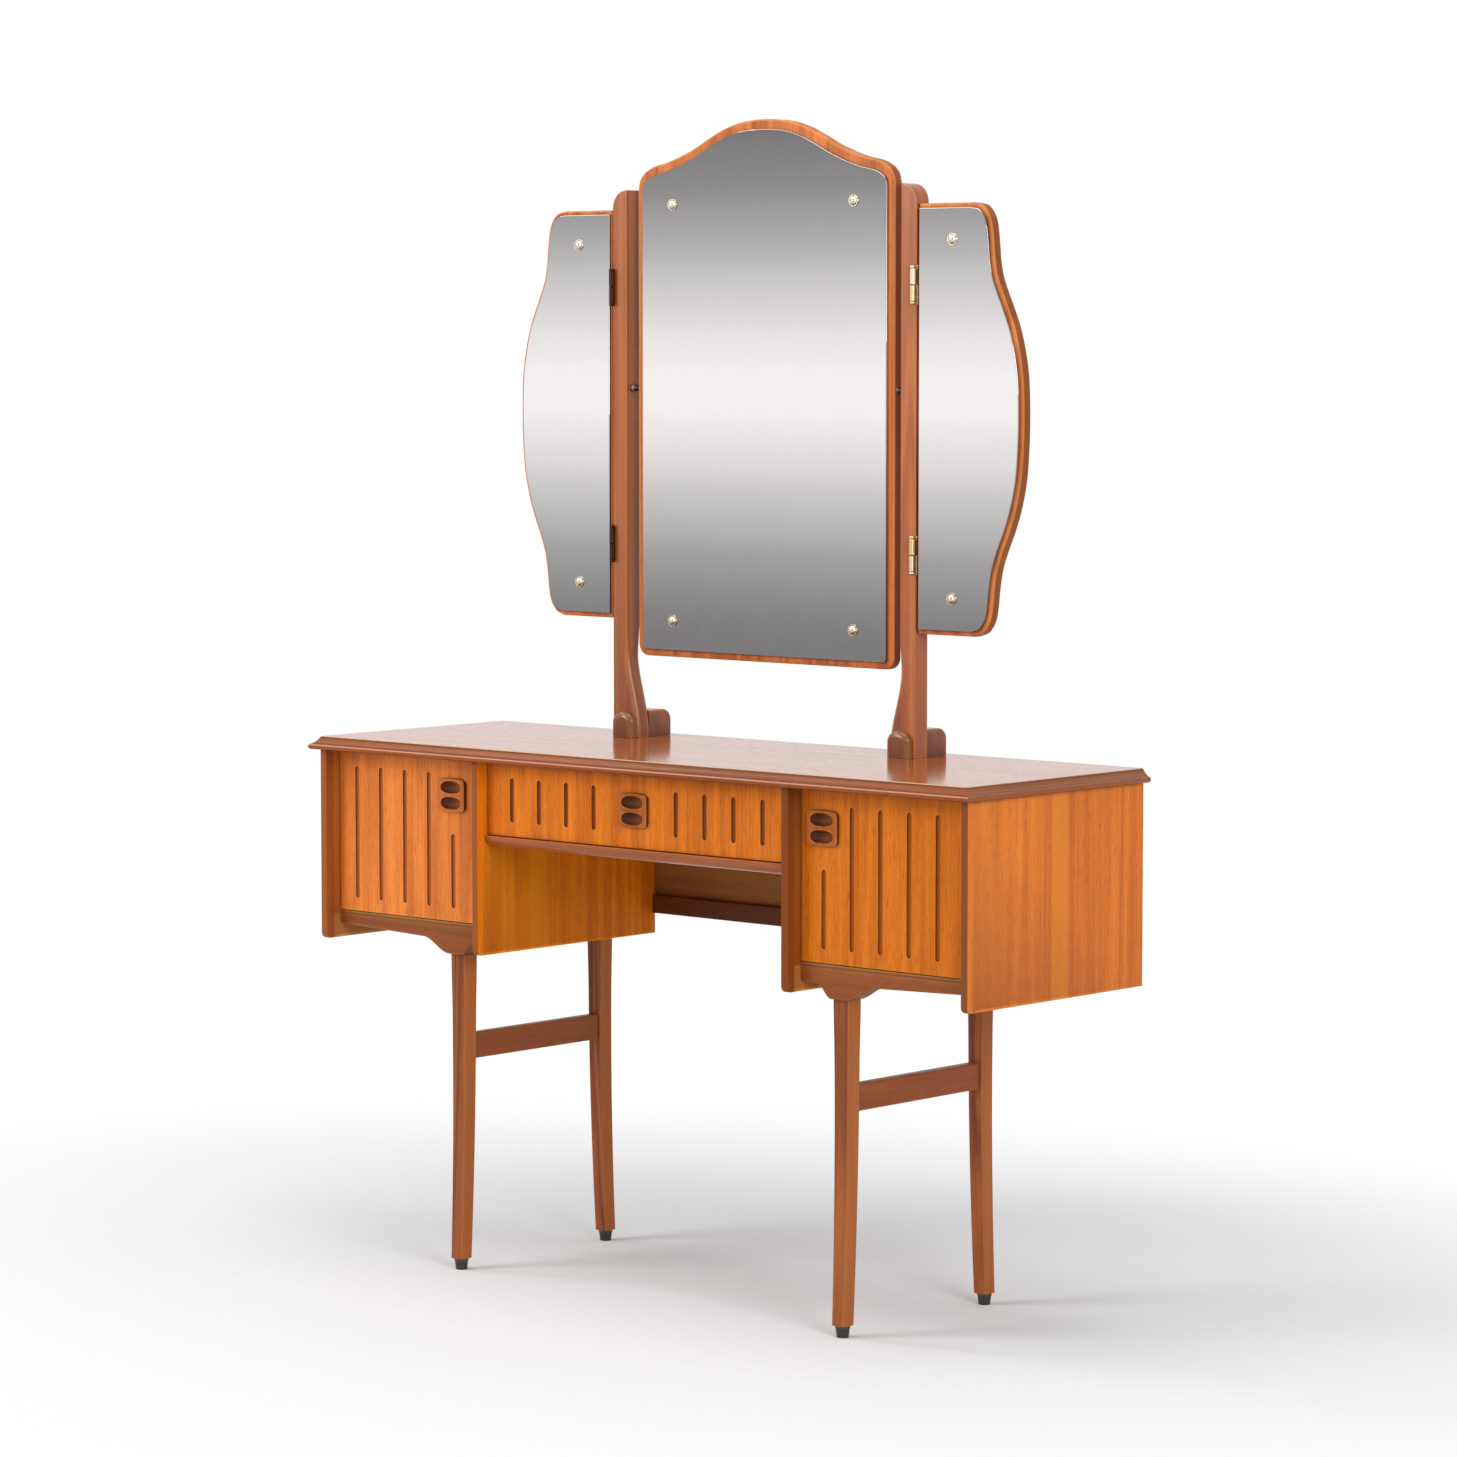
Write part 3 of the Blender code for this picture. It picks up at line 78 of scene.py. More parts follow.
# ---------------------------------------------------------------- settings


class TableSizes(bpy.types.PropertyGroup):
    """Sizes of the small shapes that a user may change."""

    groove_depth: bpy.props.FloatProperty(
        name="Groove Depth", description="Depth of the grooves in the doors and the drawer",
        default=0.003, min=0.001, max=0.006, unit="LENGTH")
    groove_width: bpy.props.FloatProperty(
        name="Groove Width", description="Width of the grooves in the doors and the drawer",
        default=0.0080, min=0.004, max=0.009, unit="LENGTH")
    scoop_depth: bpy.props.FloatProperty(
        name="Scoop Depth", description="Depth of the finger scoops in the handles",
        default=0.0085, min=0.004, max=0.011, unit="LENGTH")
    board_round: bpy.props.FloatProperty(
        name="Board Round", description="Radius of the mirror boards' front and back edges",
        default=0.003, min=0.001, max=0.005, unit="LENGTH")
    post_round: bpy.props.FloatProperty(
        name="Post Round", description="Radius along the edges of the mirror posts",
        default=0.0016, min=0.0005, max=0.0025, unit="LENGTH")
    leg_round: bpy.props.FloatProperty(
        name="Leg Round", description="Radius along the edges of the legs and stretchers",
        default=0.0025, min=0.001, max=0.005, unit="LENGTH")
    glass_bevel: bpy.props.FloatProperty(
        name="Glass Bevel", description="Width of the ground bevel round the mirror glasses",
        default=0.0007, min=0.0003, max=0.003, unit="LENGTH")


class TableColours(bpy.types.PropertyGroup):
    """Colours and wear of the finishes."""

    veneer: bpy.props.FloatVectorProperty(
        name="Veneer", description="Main colour of the teak veneer",
        subtype="COLOR", size=3, default=(0.73, 0.192, 0.022), min=0, max=1)
    solid_teak: bpy.props.FloatVectorProperty(
        name="Solid Teak", description="Main colour of the solid teak of case and legs",
        subtype="COLOR", size=3, default=(0.285, 0.074, 0.016), min=0, max=1)
    mirror_teak: bpy.props.FloatVectorProperty(
        name="Mirror Teak", description="Main colour of the posts and mirror boards",
        subtype="COLOR", size=3, default=(0.43, 0.122, 0.033), min=0, max=1)
    plywood: bpy.props.FloatVectorProperty(
        name="Plywood", description="Main colour of the back and the pedestal bottoms",
        subtype="COLOR", size=3, default=(0.27, 0.112, 0.030), min=0, max=1)
    beech: bpy.props.FloatVectorProperty(
        name="Beech", description="Main colour of the drawer box, runners and rear rails",
        subtype="COLOR", size=3, default=(0.60, 0.40, 0.22), min=0, max=1)
    # Colour of the painted highlight along the moulding's top edge.
    edge_highlight: bpy.props.FloatVectorProperty(
        name="Edge Highlight", description="Colour of the pale line along the moulding's top edge",
        subtype="COLOR", size=3, default=(0.92, 0.78, 0.52), min=0, max=1)
    plastic: bpy.props.FloatVectorProperty(
        name="Foot Plastic", description="Colour of the plastic feet",
        subtype="COLOR", size=3, default=(0.026, 0.016, 0.010), min=0, max=1)
    edge_wear: bpy.props.FloatProperty(
        name="Edge Wear", description="How far the edges are rubbed pale",
        default=0.45, min=0, max=1, subtype="FACTOR")


# ---------------------------------------------------------------- shapes


class Shell:
    """Points and faces of one piece, put together from grids and rings."""

    def __init__(self):
        self.points = []
        self.faces = []
        self.count = 0

    def add(self, points):
        """Adds an array of points and returns their numbers in the same arrangement."""
        numbers = np.arange(points[..., 0].size).reshape(points.shape[:-1]) + self.count
        self.points.append(points.reshape(-1, 3))
        self.count += numbers.size
        return numbers

    def quads(self, numbers, keep=None):
        """Four-sided faces between neighbouring rows and columns of point numbers."""
        faces = np.stack([numbers[:-1, :-1], numbers[:-1, 1:], numbers[1:, 1:], numbers[1:, :-1]], -1)
        if keep is not None:
            faces = faces[keep]
        self.faces.extend(faces.reshape(-1, 4).tolist())

    def tube(self, rows, start=None):
        """Closed rings joined one to the next, from a ring that is there or a flat end, to a flat end."""
        numbers = self.add(rows)
        if start is None:
            self.faces.append(numbers[0].tolist())
        else:
            numbers = np.concatenate([start[None], numbers])
        self.quads(np.concatenate([numbers, numbers[:, :1]], 1))
        self.faces.append(numbers[-1].tolist())
        return self


def stack(order, first, second, third):
    """Points from three coordinates, named by the axes that they stand for."""
    parts = dict(zip(order, np.broadcast_arrays(first, second, third)))
    return np.stack([parts["x"], parts["y"], parts["z"]], -1)


def outward(outline):
    """Way out of an anticlockwise outline at each point: the sum of its two sides' normals
    over one plus their product, which moves both sides by the same distance."""
    ahead = np.roll(outline, -1, 0) - outline
    ahead /= np.linalg.norm(ahead, axis=1, keepdims=True)
    after = np.stack([ahead[:, 1], -ahead[:, 0]], 1)
    before = np.roll(after, 1, 0)
    return (before + after) / (1 + (before * after).sum(1, keepdims=True))


def quarter(radius):
    """A quarter circle from a face to a side: depth below the face is the radius times one
    less the cosine, distance in from the side is the radius times one less the sine."""
    turn = np.linspace(0, math.pi / 2, ROUND_STEPS + 1)
    return radius * (1 - np.cos(turn)), radius * (1 - np.sin(turn))


def arc(centre, radii, start, end, steps):
    """Points of an elliptical arc: the centre plus each radius times the cosine and the
    sine of even steps between two angles in degrees."""
    turn = np.radians(np.linspace(start, end, steps + 1))
    return np.stack([centre[0] + radii[0] * np.cos(turn), centre[1] + radii[1] * np.sin(turn)], 1)


def curve(points, count):
    """A smooth line through points: between two of them, the cubic whose slope at each is
    half the step between its neighbours. Resampled to even lengths."""
    points = np.asarray(points, float)
    ends = np.concatenate([2 * points[:1] - points[1:2], points, 2 * points[-1:] - points[-2:-1]])
    share = np.linspace(0, 1, 24, endpoint=False)[None, :, None]
    a, b, c, d = (ends[k:k + len(points) - 1, None] for k in range(4))
    line = 0.5 * (2 * b + (c - a) * share + (2 * a - 5 * b + 4 * c - d) * share ** 2
                  + (3 * b - a - 3 * c + d) * share ** 3)
    line = np.concatenate([line.reshape(-1, 2), points[-1:]])
    length = np.concatenate([[0], np.cumsum(np.linalg.norm(np.diff(line, axis=0), axis=1))])
    even = np.linspace(0, length[-1], count)
    return np.stack([np.interp(even, length, line[:, 0]), np.interp(even, length, line[:, 1])], 1)


def beside(outline, margin):
    """An outline with a point added near each end of each long side, so that what happens
    at a corner stays there: the end plus or minus the side's direction times the margin."""
    following = np.roll(outline, -1, 0)
    length = np.linalg.norm(following - outline, axis=1, keepdims=True)
    step = (following - outline) / length * margin
    points = np.stack([outline, outline + step, following - step], 1)
    wide = np.repeat(length > 3 * margin, 3, 1)
    wide[:, 0] = True
    return points[wide]


def slab(shell, outline, near, far, radius, order, held=None, back_radius=None, soft=None):
    """A board: the outline carried from its near face to its far face. Both faces' edges
    follow a quarter circle, and a ring inside each keeps the rest of the face flat. Held
    gives nought for each point and direction that isn't drawn in at a joint, and soft gives
    the share of the radii at each point."""
    back_radius = radius if back_radius is None else back_radius
    flat = min(FLAT_MARGIN, np.ptp(outline, 0).min() / 5)
    outline = beside(outline, max(radius, back_radius) + 2 * flat)
    ways = outward(outline)
    if held is not None:
        ways = ways * held(outline)
    same = np.ones(len(outline))
    share = same if soft is None else soft(outline)
    rise, into = quarter(radius)
    back_rise, back_into = quarter(back_radius)
    length = abs(far - near)
    margin = min(FLAT_MARGIN, (length - (radius + back_radius) * share.max()) / 3)
    depth = np.concatenate([[0 * same], np.outer(rise, share),
                            [radius * share + margin, length - back_radius * share - margin],
                            length - np.outer(back_rise[::-1], share), [length * same]])
    drawn = np.concatenate([[radius * share + flat], np.outer(into, share), np.outer([0, 0], same),
                            np.outer(back_into[::-1], share), [back_radius * share + flat]])
    rows = outline - ways * drawn[..., None]
    across = near + math.copysign(1, far - near) * depth
    return shell.tube(stack(order, rows[..., 0], rows[..., 1], across))


def joined(across=(), up=()):
    """What slab is given as held, for joints at places across and up: nought for each point
    and direction that lies within the reach of one."""
    return lambda points: np.stack([(np.abs(points[:, k, None] - np.array(places)) > JOINT_REACH).all(1)
                                    for k, places in enumerate((across, up))], 1)


def board(shell, low, high, radius=BACK_ROUND):
    """A plain board between two corners, through its thinnest direction, with lightly
    rounded edges."""
    thin = int(np.argmin(np.subtract(high, low)))
    order = ("yzx", "xzy", "xyz")[thin]
    u, v = ("xyz".index(name) for name in order[:2])
    outline = np.array([(low[u], low[v]), (high[u], low[v]), (high[u], high[v]), (low[u], high[v])])
    return slab(shell, outline, low[thin], high[thin], radius, order)


def sections(half_across, half_deep, radius):
    """Rounded rectangles, one for each pair of half sizes: a quarter circle on each corner of
    the rectangle that is smaller by the radius, and a point beside each end of it."""
    turn = np.radians(np.concatenate([np.r_[q, np.linspace(q, q + 90, ROUND_STEPS + 1), q + 90]
                                      for q in (0, 90, 180, 270)]))
    slide = np.tile(np.r_[-FLAT_MARGIN, np.zeros(ROUND_STEPS + 1), FLAT_MARGIN], 4)
    count = ROUND_STEPS + 3
    sign_x = np.repeat([1, -1, -1, 1], count)
    sign_y = np.repeat([1, 1, -1, -1], count)
    radius = np.broadcast_to(radius, np.shape(half_across))
    x = sign_x * (half_across - radius)[:, None] + radius[:, None] * np.cos(turn) - slide * np.sin(turn)
    y = sign_y * (half_deep - radius)[:, None] + radius[:, None] * np.sin(turn) + slide * np.cos(turn)
    return x, y


def ease(share):
    """From 0 to 1 with level ends: three squares less two cubes."""
    share = np.clip(share, 0, 1)
    return share * share * (3 - 2 * share)


def turned(shell, radii, places, centre, axis="z", count=40, ripple=None):
    """A turned shape: each ring lies at its place along the axis, at its radius times the
    cosine and sine of even angles. The ripple is a share added to the radius by angle."""
    turn = np.linspace(0, 2 * math.pi, count, endpoint=False)
    radius = np.asarray(radii)[:, None] * (1 if ripple is None else ripple(turn))
    along = np.asarray(places)[:, None]
    order = {"z": "xyz", "x": "yzx", "y": "zxy"}[axis]
    rows = stack(order, radius * np.cos(turn), radius * np.sin(turn), along) + np.asarray(centre)
    return shell.tube(rows)


def fan(reach, count, start=0):
    """Distances that rays from a middle meet evenly: the reach times the tangent of even
    angles up to 45 degrees."""
    return reach * np.tan(np.radians(np.linspace(start, 45, count)))


def spaced(centre, half):
    """Grid lines over a hollow, to both sides of its centre."""
    return centre + fan(half, 13, -45)


def hollowed_front(shell, low, high, face, hollows, extra=None, warp=None):
    """A flat front on a grid of lines with rectangles left out for the hollows. Each
    hollow's rings start on its rectangle. Returns the numbers of the outer ring."""
    across, up = [
        np.unique(np.round(np.concatenate(
            [[low[k], low[k] + FLAT_MARGIN, high[k] - FLAT_MARGIN, high[k]]]
            + [hollow[name] for hollow in hollows] + ([extra[k]] if extra else [])), 7))
        for k, name in enumerate(("across", "up"))]
    grid_x, grid_z = np.meshgrid(across, up)
    flat = np.stack([grid_x, grid_z], -1)
    numbers = shell.add(stack("xzy", *np.moveaxis(flat if warp is None else warp(flat), -1, 0), face))
    middle_x = (across[:-1] + across[1:]) / 2
    middle_z = ((up[:-1] + up[1:]) / 2)[:, None]
    keep = np.ones((len(up) - 1, len(across) - 1), bool)
    for hollow in hollows:
        ends = np.round([hollow["across"].min(), hollow["across"].max(), hollow["up"].min(), hollow["up"].max()], 7)
        keep &= ~((middle_x > ends[0]) & (middle_x < ends[1]) & (middle_z > ends[2]) & (middle_z < ends[3]))
        i, j = np.searchsorted(across, ends[:2])
        k, m = np.searchsorted(up, ends[2:])
        ring = np.concatenate([numbers[k, i:j], numbers[k:m, j], numbers[m, j:i:-1], numbers[m:k:-1, i]])
        border = np.concatenate([flat[k, i:j], flat[k:m, j], flat[m, j:i:-1], flat[m:k:-1, i]])
        loops, depth = hollow["rings"](border)
        if warp is not None:
            loops = warp(loops)
        shell.tube(stack("xzy", loops[..., 0], loops[..., 1], face + depth[:, None]), start=ring)
    shell.quads(numbers, keep)
    return np.concatenate([numbers[0, :-1], numbers[:-1, -1], numbers[-1, :0:-1], numbers[:0:-1, 0]])


def sides_and_back(shell, ring, face, back, radius):
    """Sides of a board from the outer ring of its front: outwards and back on a quarter
    circle, straight back, then a smaller quarter circle and the flat back."""
    points = np.concatenate(shell.points)[ring]
    outline = points[:, (0, 2)]
    ways = outward(outline)
    rise, into = quarter(radius)
    back_rise, back_into = quarter(BACK_ROUND)
    depth = np.concatenate([rise[1:], [radius + FLAT_MARGIN, back - face - BACK_ROUND - FLAT_MARGIN],
                            back - face - back_rise[::-1], [back - face]])
    drawn = np.concatenate([into[1:], [0, 0], back_into[::-1], [BACK_ROUND + FLAT_MARGIN]])
    rows = outline + ways * (radius - drawn)[:, None, None]
    shell.tube(stack("xzy", rows[..., 0], rows[..., 1], face + depth[:, None]), start=ring)


# Grooves and handles


GROOVE_SQUARENESS = 5.0
GROOVE_MARGIN = 0.0012
HANDLE_HALF = (0.0245, 0.02225)
HANDLE_BOW = 0.0015
HANDLE_CORNER = 0.005
HANDLE_EDGE = 0.0012
HANDLE_LET_IN = 0.0087
HANDLE_CLEARANCE = 0.0004
RECESS_BORDER = 0.002
SCOOP_HALF = (0.0188, 0.0077)
SCOOP_PITCH = 0.0200
SCOOP_FULLNESS = 2.5
# Colour of the painted shade inside the scoops and on the handles' sides.
SCOOP_SHADE = (0.072, 0.021, 0.009, 1)


def groove(centre, low, high, width, depth):
    """A groove with round ends. Each ring lies at a distance from the groove's middle line
    that shrinks as a power of the cosine, while its depth grows as a power of the sine."""
    radius = width / 2
    reach = radius + GROOVE_MARGIN
    line_low, line_high = low + radius, high - radius
    turn = np.radians(np.array([0, 8, 20, 34, 50, 66, 80]))
    share = np.cos(turn) ** (2 / GROOVE_SQUARENESS)
    depths = depth * np.sin(turn) ** (2 / GROOVE_SQUARENESS)

    def rings(border):
        middle = np.stack([np.full(len(border), centre), np.clip(border[:, 1], line_low, line_high)], 1)
        way = border - middle
        way /= np.linalg.norm(way, axis=1, keepdims=True)
        return middle + way * (radius * share)[:, None, None], depths

    half = fan(reach, 7)
    return {"across": spaced(centre, reach), "up": np.concatenate([line_low - half, line_high + half]),
            "rings": rings}


def bowed(points, centre):
    """Bows the top and bottom of a handle: the height grows by a share that is greatest
    above the middle and falls with the square of the distance across."""
    rest = HANDLE_HALF[1] - HANDLE_BOW
    away = (points[..., 0] - centre[0]) / HANDLE_HALF[0]
    share = 1 + HANDLE_BOW / rest * (1 - np.clip(away, -1, 1) ** 2)
    return np.stack([points[..., 0], centre[1] + (points[..., 1] - centre[1]) * share], -1)


def handle_recess(centre):
    """The recess that a handle is let into: the handle's rounded outline, moved out by the
    clearance, at the front and at the depth."""
    corner = HANDLE_CORNER + HANDLE_CLEARANCE
    inner = np.array([HANDLE_HALF[0] - HANDLE_CORNER, HANDLE_HALF[1] - HANDLE_BOW - HANDLE_CORNER])
    middle = np.array(centre)
    grow = fan(corner + RECESS_BORDER, 5)

    def rings(border):
        rest = middle + np.clip(border - middle, -inner, inner)
        way = border - rest
        way /= np.linalg.norm(way, axis=1, keepdims=True)
        loop = bowed(rest + way * corner, centre)
        return np.stack([loop, loop, loop]), np.array([0, 0.001, HANDLE_LET_IN])

    lines = [np.concatenate([middle[k] - inner[k] - grow, middle[k] + np.linspace(-1, 1, 9)[1:-1] * inner[k],
                             middle[k] + inner[k] + grow]) for k in range(2)]
    return {"across": lines[0], "up": lines[1], "rings": rings}


def scoop(centre, depth):
    """A finger scoop: a full oval, where the sum of the two shares' powers is one, that
    shrinks as the cosine while its depth grows as the sine, after a narrow eased lip."""
    half = np.array(SCOOP_HALF)
    turn = np.radians(np.array([6, 14, 24, 34, 44, 54, 64, 74, 84]))
    share = np.concatenate([[1.035, 1.012], np.cos(turn)])
    depths = np.concatenate([[0.0, 0.00025], depth * np.sin(turn)])

    def rings(border):
        way = (border - centre) / half
        way /= (np.abs(way) ** SCOOP_FULLNESS).sum(1, keepdims=True) ** (1 / SCOOP_FULLNESS)
        return centre + way * half * share[:, None, None], depths

    return {"across": spaced(centre[0], half[0] + 0.0009), "up": spaced(centre[1], half[1] + 0.0009),
            "rings": rings}


def handle(shell, centre, face, back, depth):
    """A handle block: its front is a grid whose square corners are rounded by keeping each
    point's greater distance into the corner, then bowed, with two scoops in it."""
    corner = HANDLE_CORNER - HANDLE_EDGE
    half = np.array([HANDLE_HALF[0] - HANDLE_EDGE, HANDLE_HALF[1] - HANDLE_BOW - HANDLE_EDGE])
    middle = np.array(centre)
    inner = half - corner

    def warp(points):
        rest = np.clip(points - middle, -inner, inner)
        away = points - middle - rest
        length = np.linalg.norm(away, axis=-1, keepdims=True)
        greater = np.abs(away).max(-1, keepdims=True)
        return bowed(middle + rest + away * greater / np.maximum(length, 1e-9), centre)

    grow = fan(corner, 5)[:-1]
    corners = [np.concatenate([middle[k] - inner[k] - grow, middle[k] + inner[k] + grow]) for k in range(2)]
    scoops = [scoop(middle + (0, up * SCOOP_PITCH / 2), depth) for up in (-1, 1)]
    ring = hollowed_front(shell, middle - half, middle + half, face, scoops, corners, warp)
    sides_and_back(shell, ring, face, back, HANDLE_EDGE)
    return shell


# Outlines that repeat the model's own sizes


MIRROR_CROWN = (
    (0.0, 0.0), (0.10, 0.010), (0.21, 0.048), (0.33, 0.140), (0.44, 0.265), (0.54, 0.390),
    (0.65, 0.505), (0.77, 0.600), (0.87, 0.655), (0.94, 0.735), (0.985, 0.850), (1.0, 1.0))
MIRROR_CROWN_HEIGHT = 0.087
MIRROR_CORNER = 0.016
WING_SHARES = (
    (0.50, 1.0), (0.60, 0.994), (0.665, 0.973), (0.695, 0.945), (0.712, 0.900), (0.722, 0.868),
    (0.745, 0.832), (0.790, 0.797), (0.850, 0.757), (0.912, 0.710), (0.960, 0.655), (0.990, 0.595),
    (1.0, 0.520), (0.995, 0.440), (0.975, 0.365), (0.930, 0.300), (0.870, 0.246), (0.805, 0.200),
    (0.753, 0.155), (0.727, 0.110), (0.713, 0.072), (0.690, 0.038), (0.630, 0.011), (0.54, 0.0))
POST_FLARE = ((1.0, 0.0), (0.86, 0.07), (0.70, 0.24), (0.50, 0.55), (0.30, 0.84), (0.12, 0.985), (0.0, 1.0))
POST_WIDTH, POST_FOOT_WIDTH, POST_FLARE_HEIGHT, POST_CORNER = 0.0252, 0.0455, 0.120, 0.024
POST_CORNER_TURN, FLARE_SPACE = 78, 0.035
BRACKET_DROP, BRACKET_HALF, BRACKET_INNER, BRACKET_OUTER = 0.0392, 0.012, 0.024, 0.048
RAIL_INNER, RAIL_OUTER, RAIL_END, RAIL_ROUND, RAIL_BACK_ROUND = 0.0207, 0.0197, 0.0145, 0.004, 0.0008


def mirror_outline():
    """Centre mirror: two round lower corners, upright sides and the crown's smooth curve."""
    low, high = limits("mirror_board")
    half, height = high[0], high[2] - low[2]
    corner = arc((half - MIRROR_CORNER, MIRROR_CORNER), (MIRROR_CORNER, MIRROR_CORNER), -90, 0, 10)
    shares = np.array(MIRROR_CROWN)
    right = np.stack([half * shares[:, 0], height - MIRROR_CROWN_HEIGHT * shares[:, 1]], 1)[::-1]
    crown = curve(np.concatenate([right, right[-2::-1] * (-1, 1)]), 121)
    outline = np.concatenate([corner, crown, corner[::-1] * (-1, 1)])
    return outline + (0, low[2])


def wing_outline():
    """Right side mirror from its straight hinged edge: a smooth curve through the shares of
    its width and height."""
    low, high = limits("right_wing_board")
    size = np.array([high[0] - low[0], high[2] - low[2]])
    outer = curve(np.array(WING_SHARES)[::-1] * size, 140)
    outline = np.concatenate([[(0, 0)], outer, [(0, size[1])]])
    return outline + (low[0], low[2])


def drawn_in(outline, distance):
    """The outline moved inwards by a distance."""
    return outline - outward(outline) * distance


def sided(outline, side):
    """The outline, or its mirror image for the left side, still anticlockwise."""
    return outline if side > 0 else outline[::-1] * (-1, 1)


# The hollow is taller than the model's, as in the photograph
MOULDING_WIDTH, MOULDING_OVERHANG, COVE_HEIGHT, COVE_SAG = 0.015, 0.013, 0.0100, 0.12
MOULDING_GAP, MITRE_GAP = 0.0003, 0.00008
# Colour of the painted highlight on the top of the moulding's nose.
MOULDING_HIGHLIGHT = (0.90, 0.42, 0.27, 1)


def moulding_profile(thickness):
    """Moulding: half a circle for the nose, and over it a slope that sags by a share of its
    height, four times how far along it a point is, times what is left."""
    nose = (thickness - COVE_HEIGHT) / 2
    centre = MOULDING_WIDTH - nose
    share = np.linspace(0, 1, 13)[1:-1]
    hollow = np.stack([centre - (MOULDING_OVERHANG - nose) * share,
                       -COVE_HEIGHT * (1 - share + 4 * COVE_SAG * share * (1 - share))], 1)
    return np.concatenate([
        [(0, -thickness), (FLAT_MARGIN, -thickness)],
        arc((centre, nose - thickness), (nose, nose), -90, 90, 18),
        hollow, [(MOULDING_WIDTH - MOULDING_OVERHANG, 0), (FLAT_MARGIN / 3, 0), (0, 0)]])


def post_outline():
    """Right post: straight outside with a round top corner, flared smoothly to its foot."""
    low, high = limits("right_post")
    outer, foot, top = high[0], low[2], high[2]
    corner = arc((outer - POST_CORNER, top - POST_CORNER), (POST_CORNER, POST_CORNER), 0, POST_CORNER_TURN, 12)
    flare = np.array(POST_FLARE)
    inner = np.stack([outer - POST_WIDTH - (POST_FOOT_WIDTH - POST_WIDTH) * flare[:, 1],
                      foot + POST_FLARE_HEIGHT * flare[:, 0]], 1)
    straight = [(outer - POST_WIDTH, top), (outer - POST_WIDTH, foot + POST_FLARE_HEIGHT + FLARE_SPACE)]
    return np.concatenate([[(outer, foot)], corner, straight, curve(inner, 28)])


def rail_outline(leg):
    """Right front rail: straight, with an eased sweep down to the bracket on each side of
    the leg, where the drop is its height times three squares less two cubes."""
    low, high = limits("right_front_rail")
    share = np.linspace(0, 1, 15)
    inner_x = leg - BRACKET_HALF - BRACKET_INNER * (1 - share)
    inner_z = -RAIL_INNER - (BRACKET_DROP - RAIL_INNER) * ease(share)
    outer_x = leg + BRACKET_HALF + BRACKET_OUTER * share
    outer_z = -BRACKET_DROP + (BRACKET_DROP - RAIL_OUTER) * ease(share)
    lower = np.concatenate([np.stack([inner_x, inner_z], 1), np.stack([outer_x, outer_z], 1)])
    outline = np.concatenate([[(low[0], -RAIL_INNER)], lower,
                              [(high[0], -RAIL_END), (high[0], 0), (low[0], 0)]])
    return outline + (0, high[2])


# ---------------------------------------------------------------- finishes


def node(tree, kind, inputs=None, **settings):
    """Adds a node with its settings, and joins or sets its inputs."""
    made = tree.nodes.new(kind)
    for name, value in settings.items():
        setattr(made, name, value)
    for name, value in (inputs or {}).items():
        if isinstance(value, bpy.types.NodeSocket):
            tree.links.new(value, made.inputs[name])
        else:
            made.inputs[name].default_value = value
    return made


def maths(tree, operation, first, second=0.0, third=None, clamp=False):
    """The result of one Math node."""
    inputs = {0: first, 1: second}
    if third is not None:
        inputs[2] = third
    return node(tree, "ShaderNodeMath", inputs, operation=operation, use_clamp=clamp).outputs[0]


def mix(tree, share, first, second):
    """The colour of one Mix node."""
    return node(tree, "ShaderNodeMix", {0: share, 6: first, 7: second}, data_type="RGBA").outputs[2]


def own(tree, name):
    """The value of one of the mesh's own attributes."""
    return node(tree, "ShaderNodeAttribute", attribute_name=name).outputs["Fac"]


def place_along(tree, coordinates, axis):
    """How far along an axis a place lies."""
    return node(tree, "ShaderNodeSeparateXYZ", {0: coordinates}).outputs[axis]


def ramp(tree, value, low, high, to_low=0.0, to_high=1.0):
    """A value carried smoothly from one range to another."""
    return node(tree, "ShaderNodeMapRange",
                {"Value": value, "From Min": low, "From Max": high, "To Min": to_low, "To Max": to_high},
                interpolation_type="SMOOTHSTEP").outputs["Result"]


def noise(tree, vector, scale, detail, roughness=0.5, distortion=0.0):
    """Noise on a vector that is first scaled by three numbers."""
    scaled = node(tree, "ShaderNodeVectorMath", {0: vector, 1: scale}, operation="MULTIPLY").outputs[0]
    return node(tree, "ShaderNodeTexNoise", {"Vector": scaled, "Scale": 1.0, "Detail": detail,
                                             "Roughness": roughness, "Distortion": distortion}).outputs[0]


def new_group(name, inputs, outputs):
    """A node group with named sockets, and its two end nodes."""
    tree = bpy.data.node_groups.new(name, "ShaderNodeTree")
    for socket_name, kind, value in inputs:
        socket = tree.interface.new_socket(socket_name, in_out="INPUT", socket_type=f"NodeSocket{kind}")
        if value is not None:
            socket.default_value = value
    for socket_name, kind in outputs:
        tree.interface.new_socket(socket_name, in_out="OUTPUT", socket_type=f"NodeSocket{kind}")
    return tree, tree.nodes.new("NodeGroupInput").outputs, tree.nodes.new("NodeGroupOutput").inputs


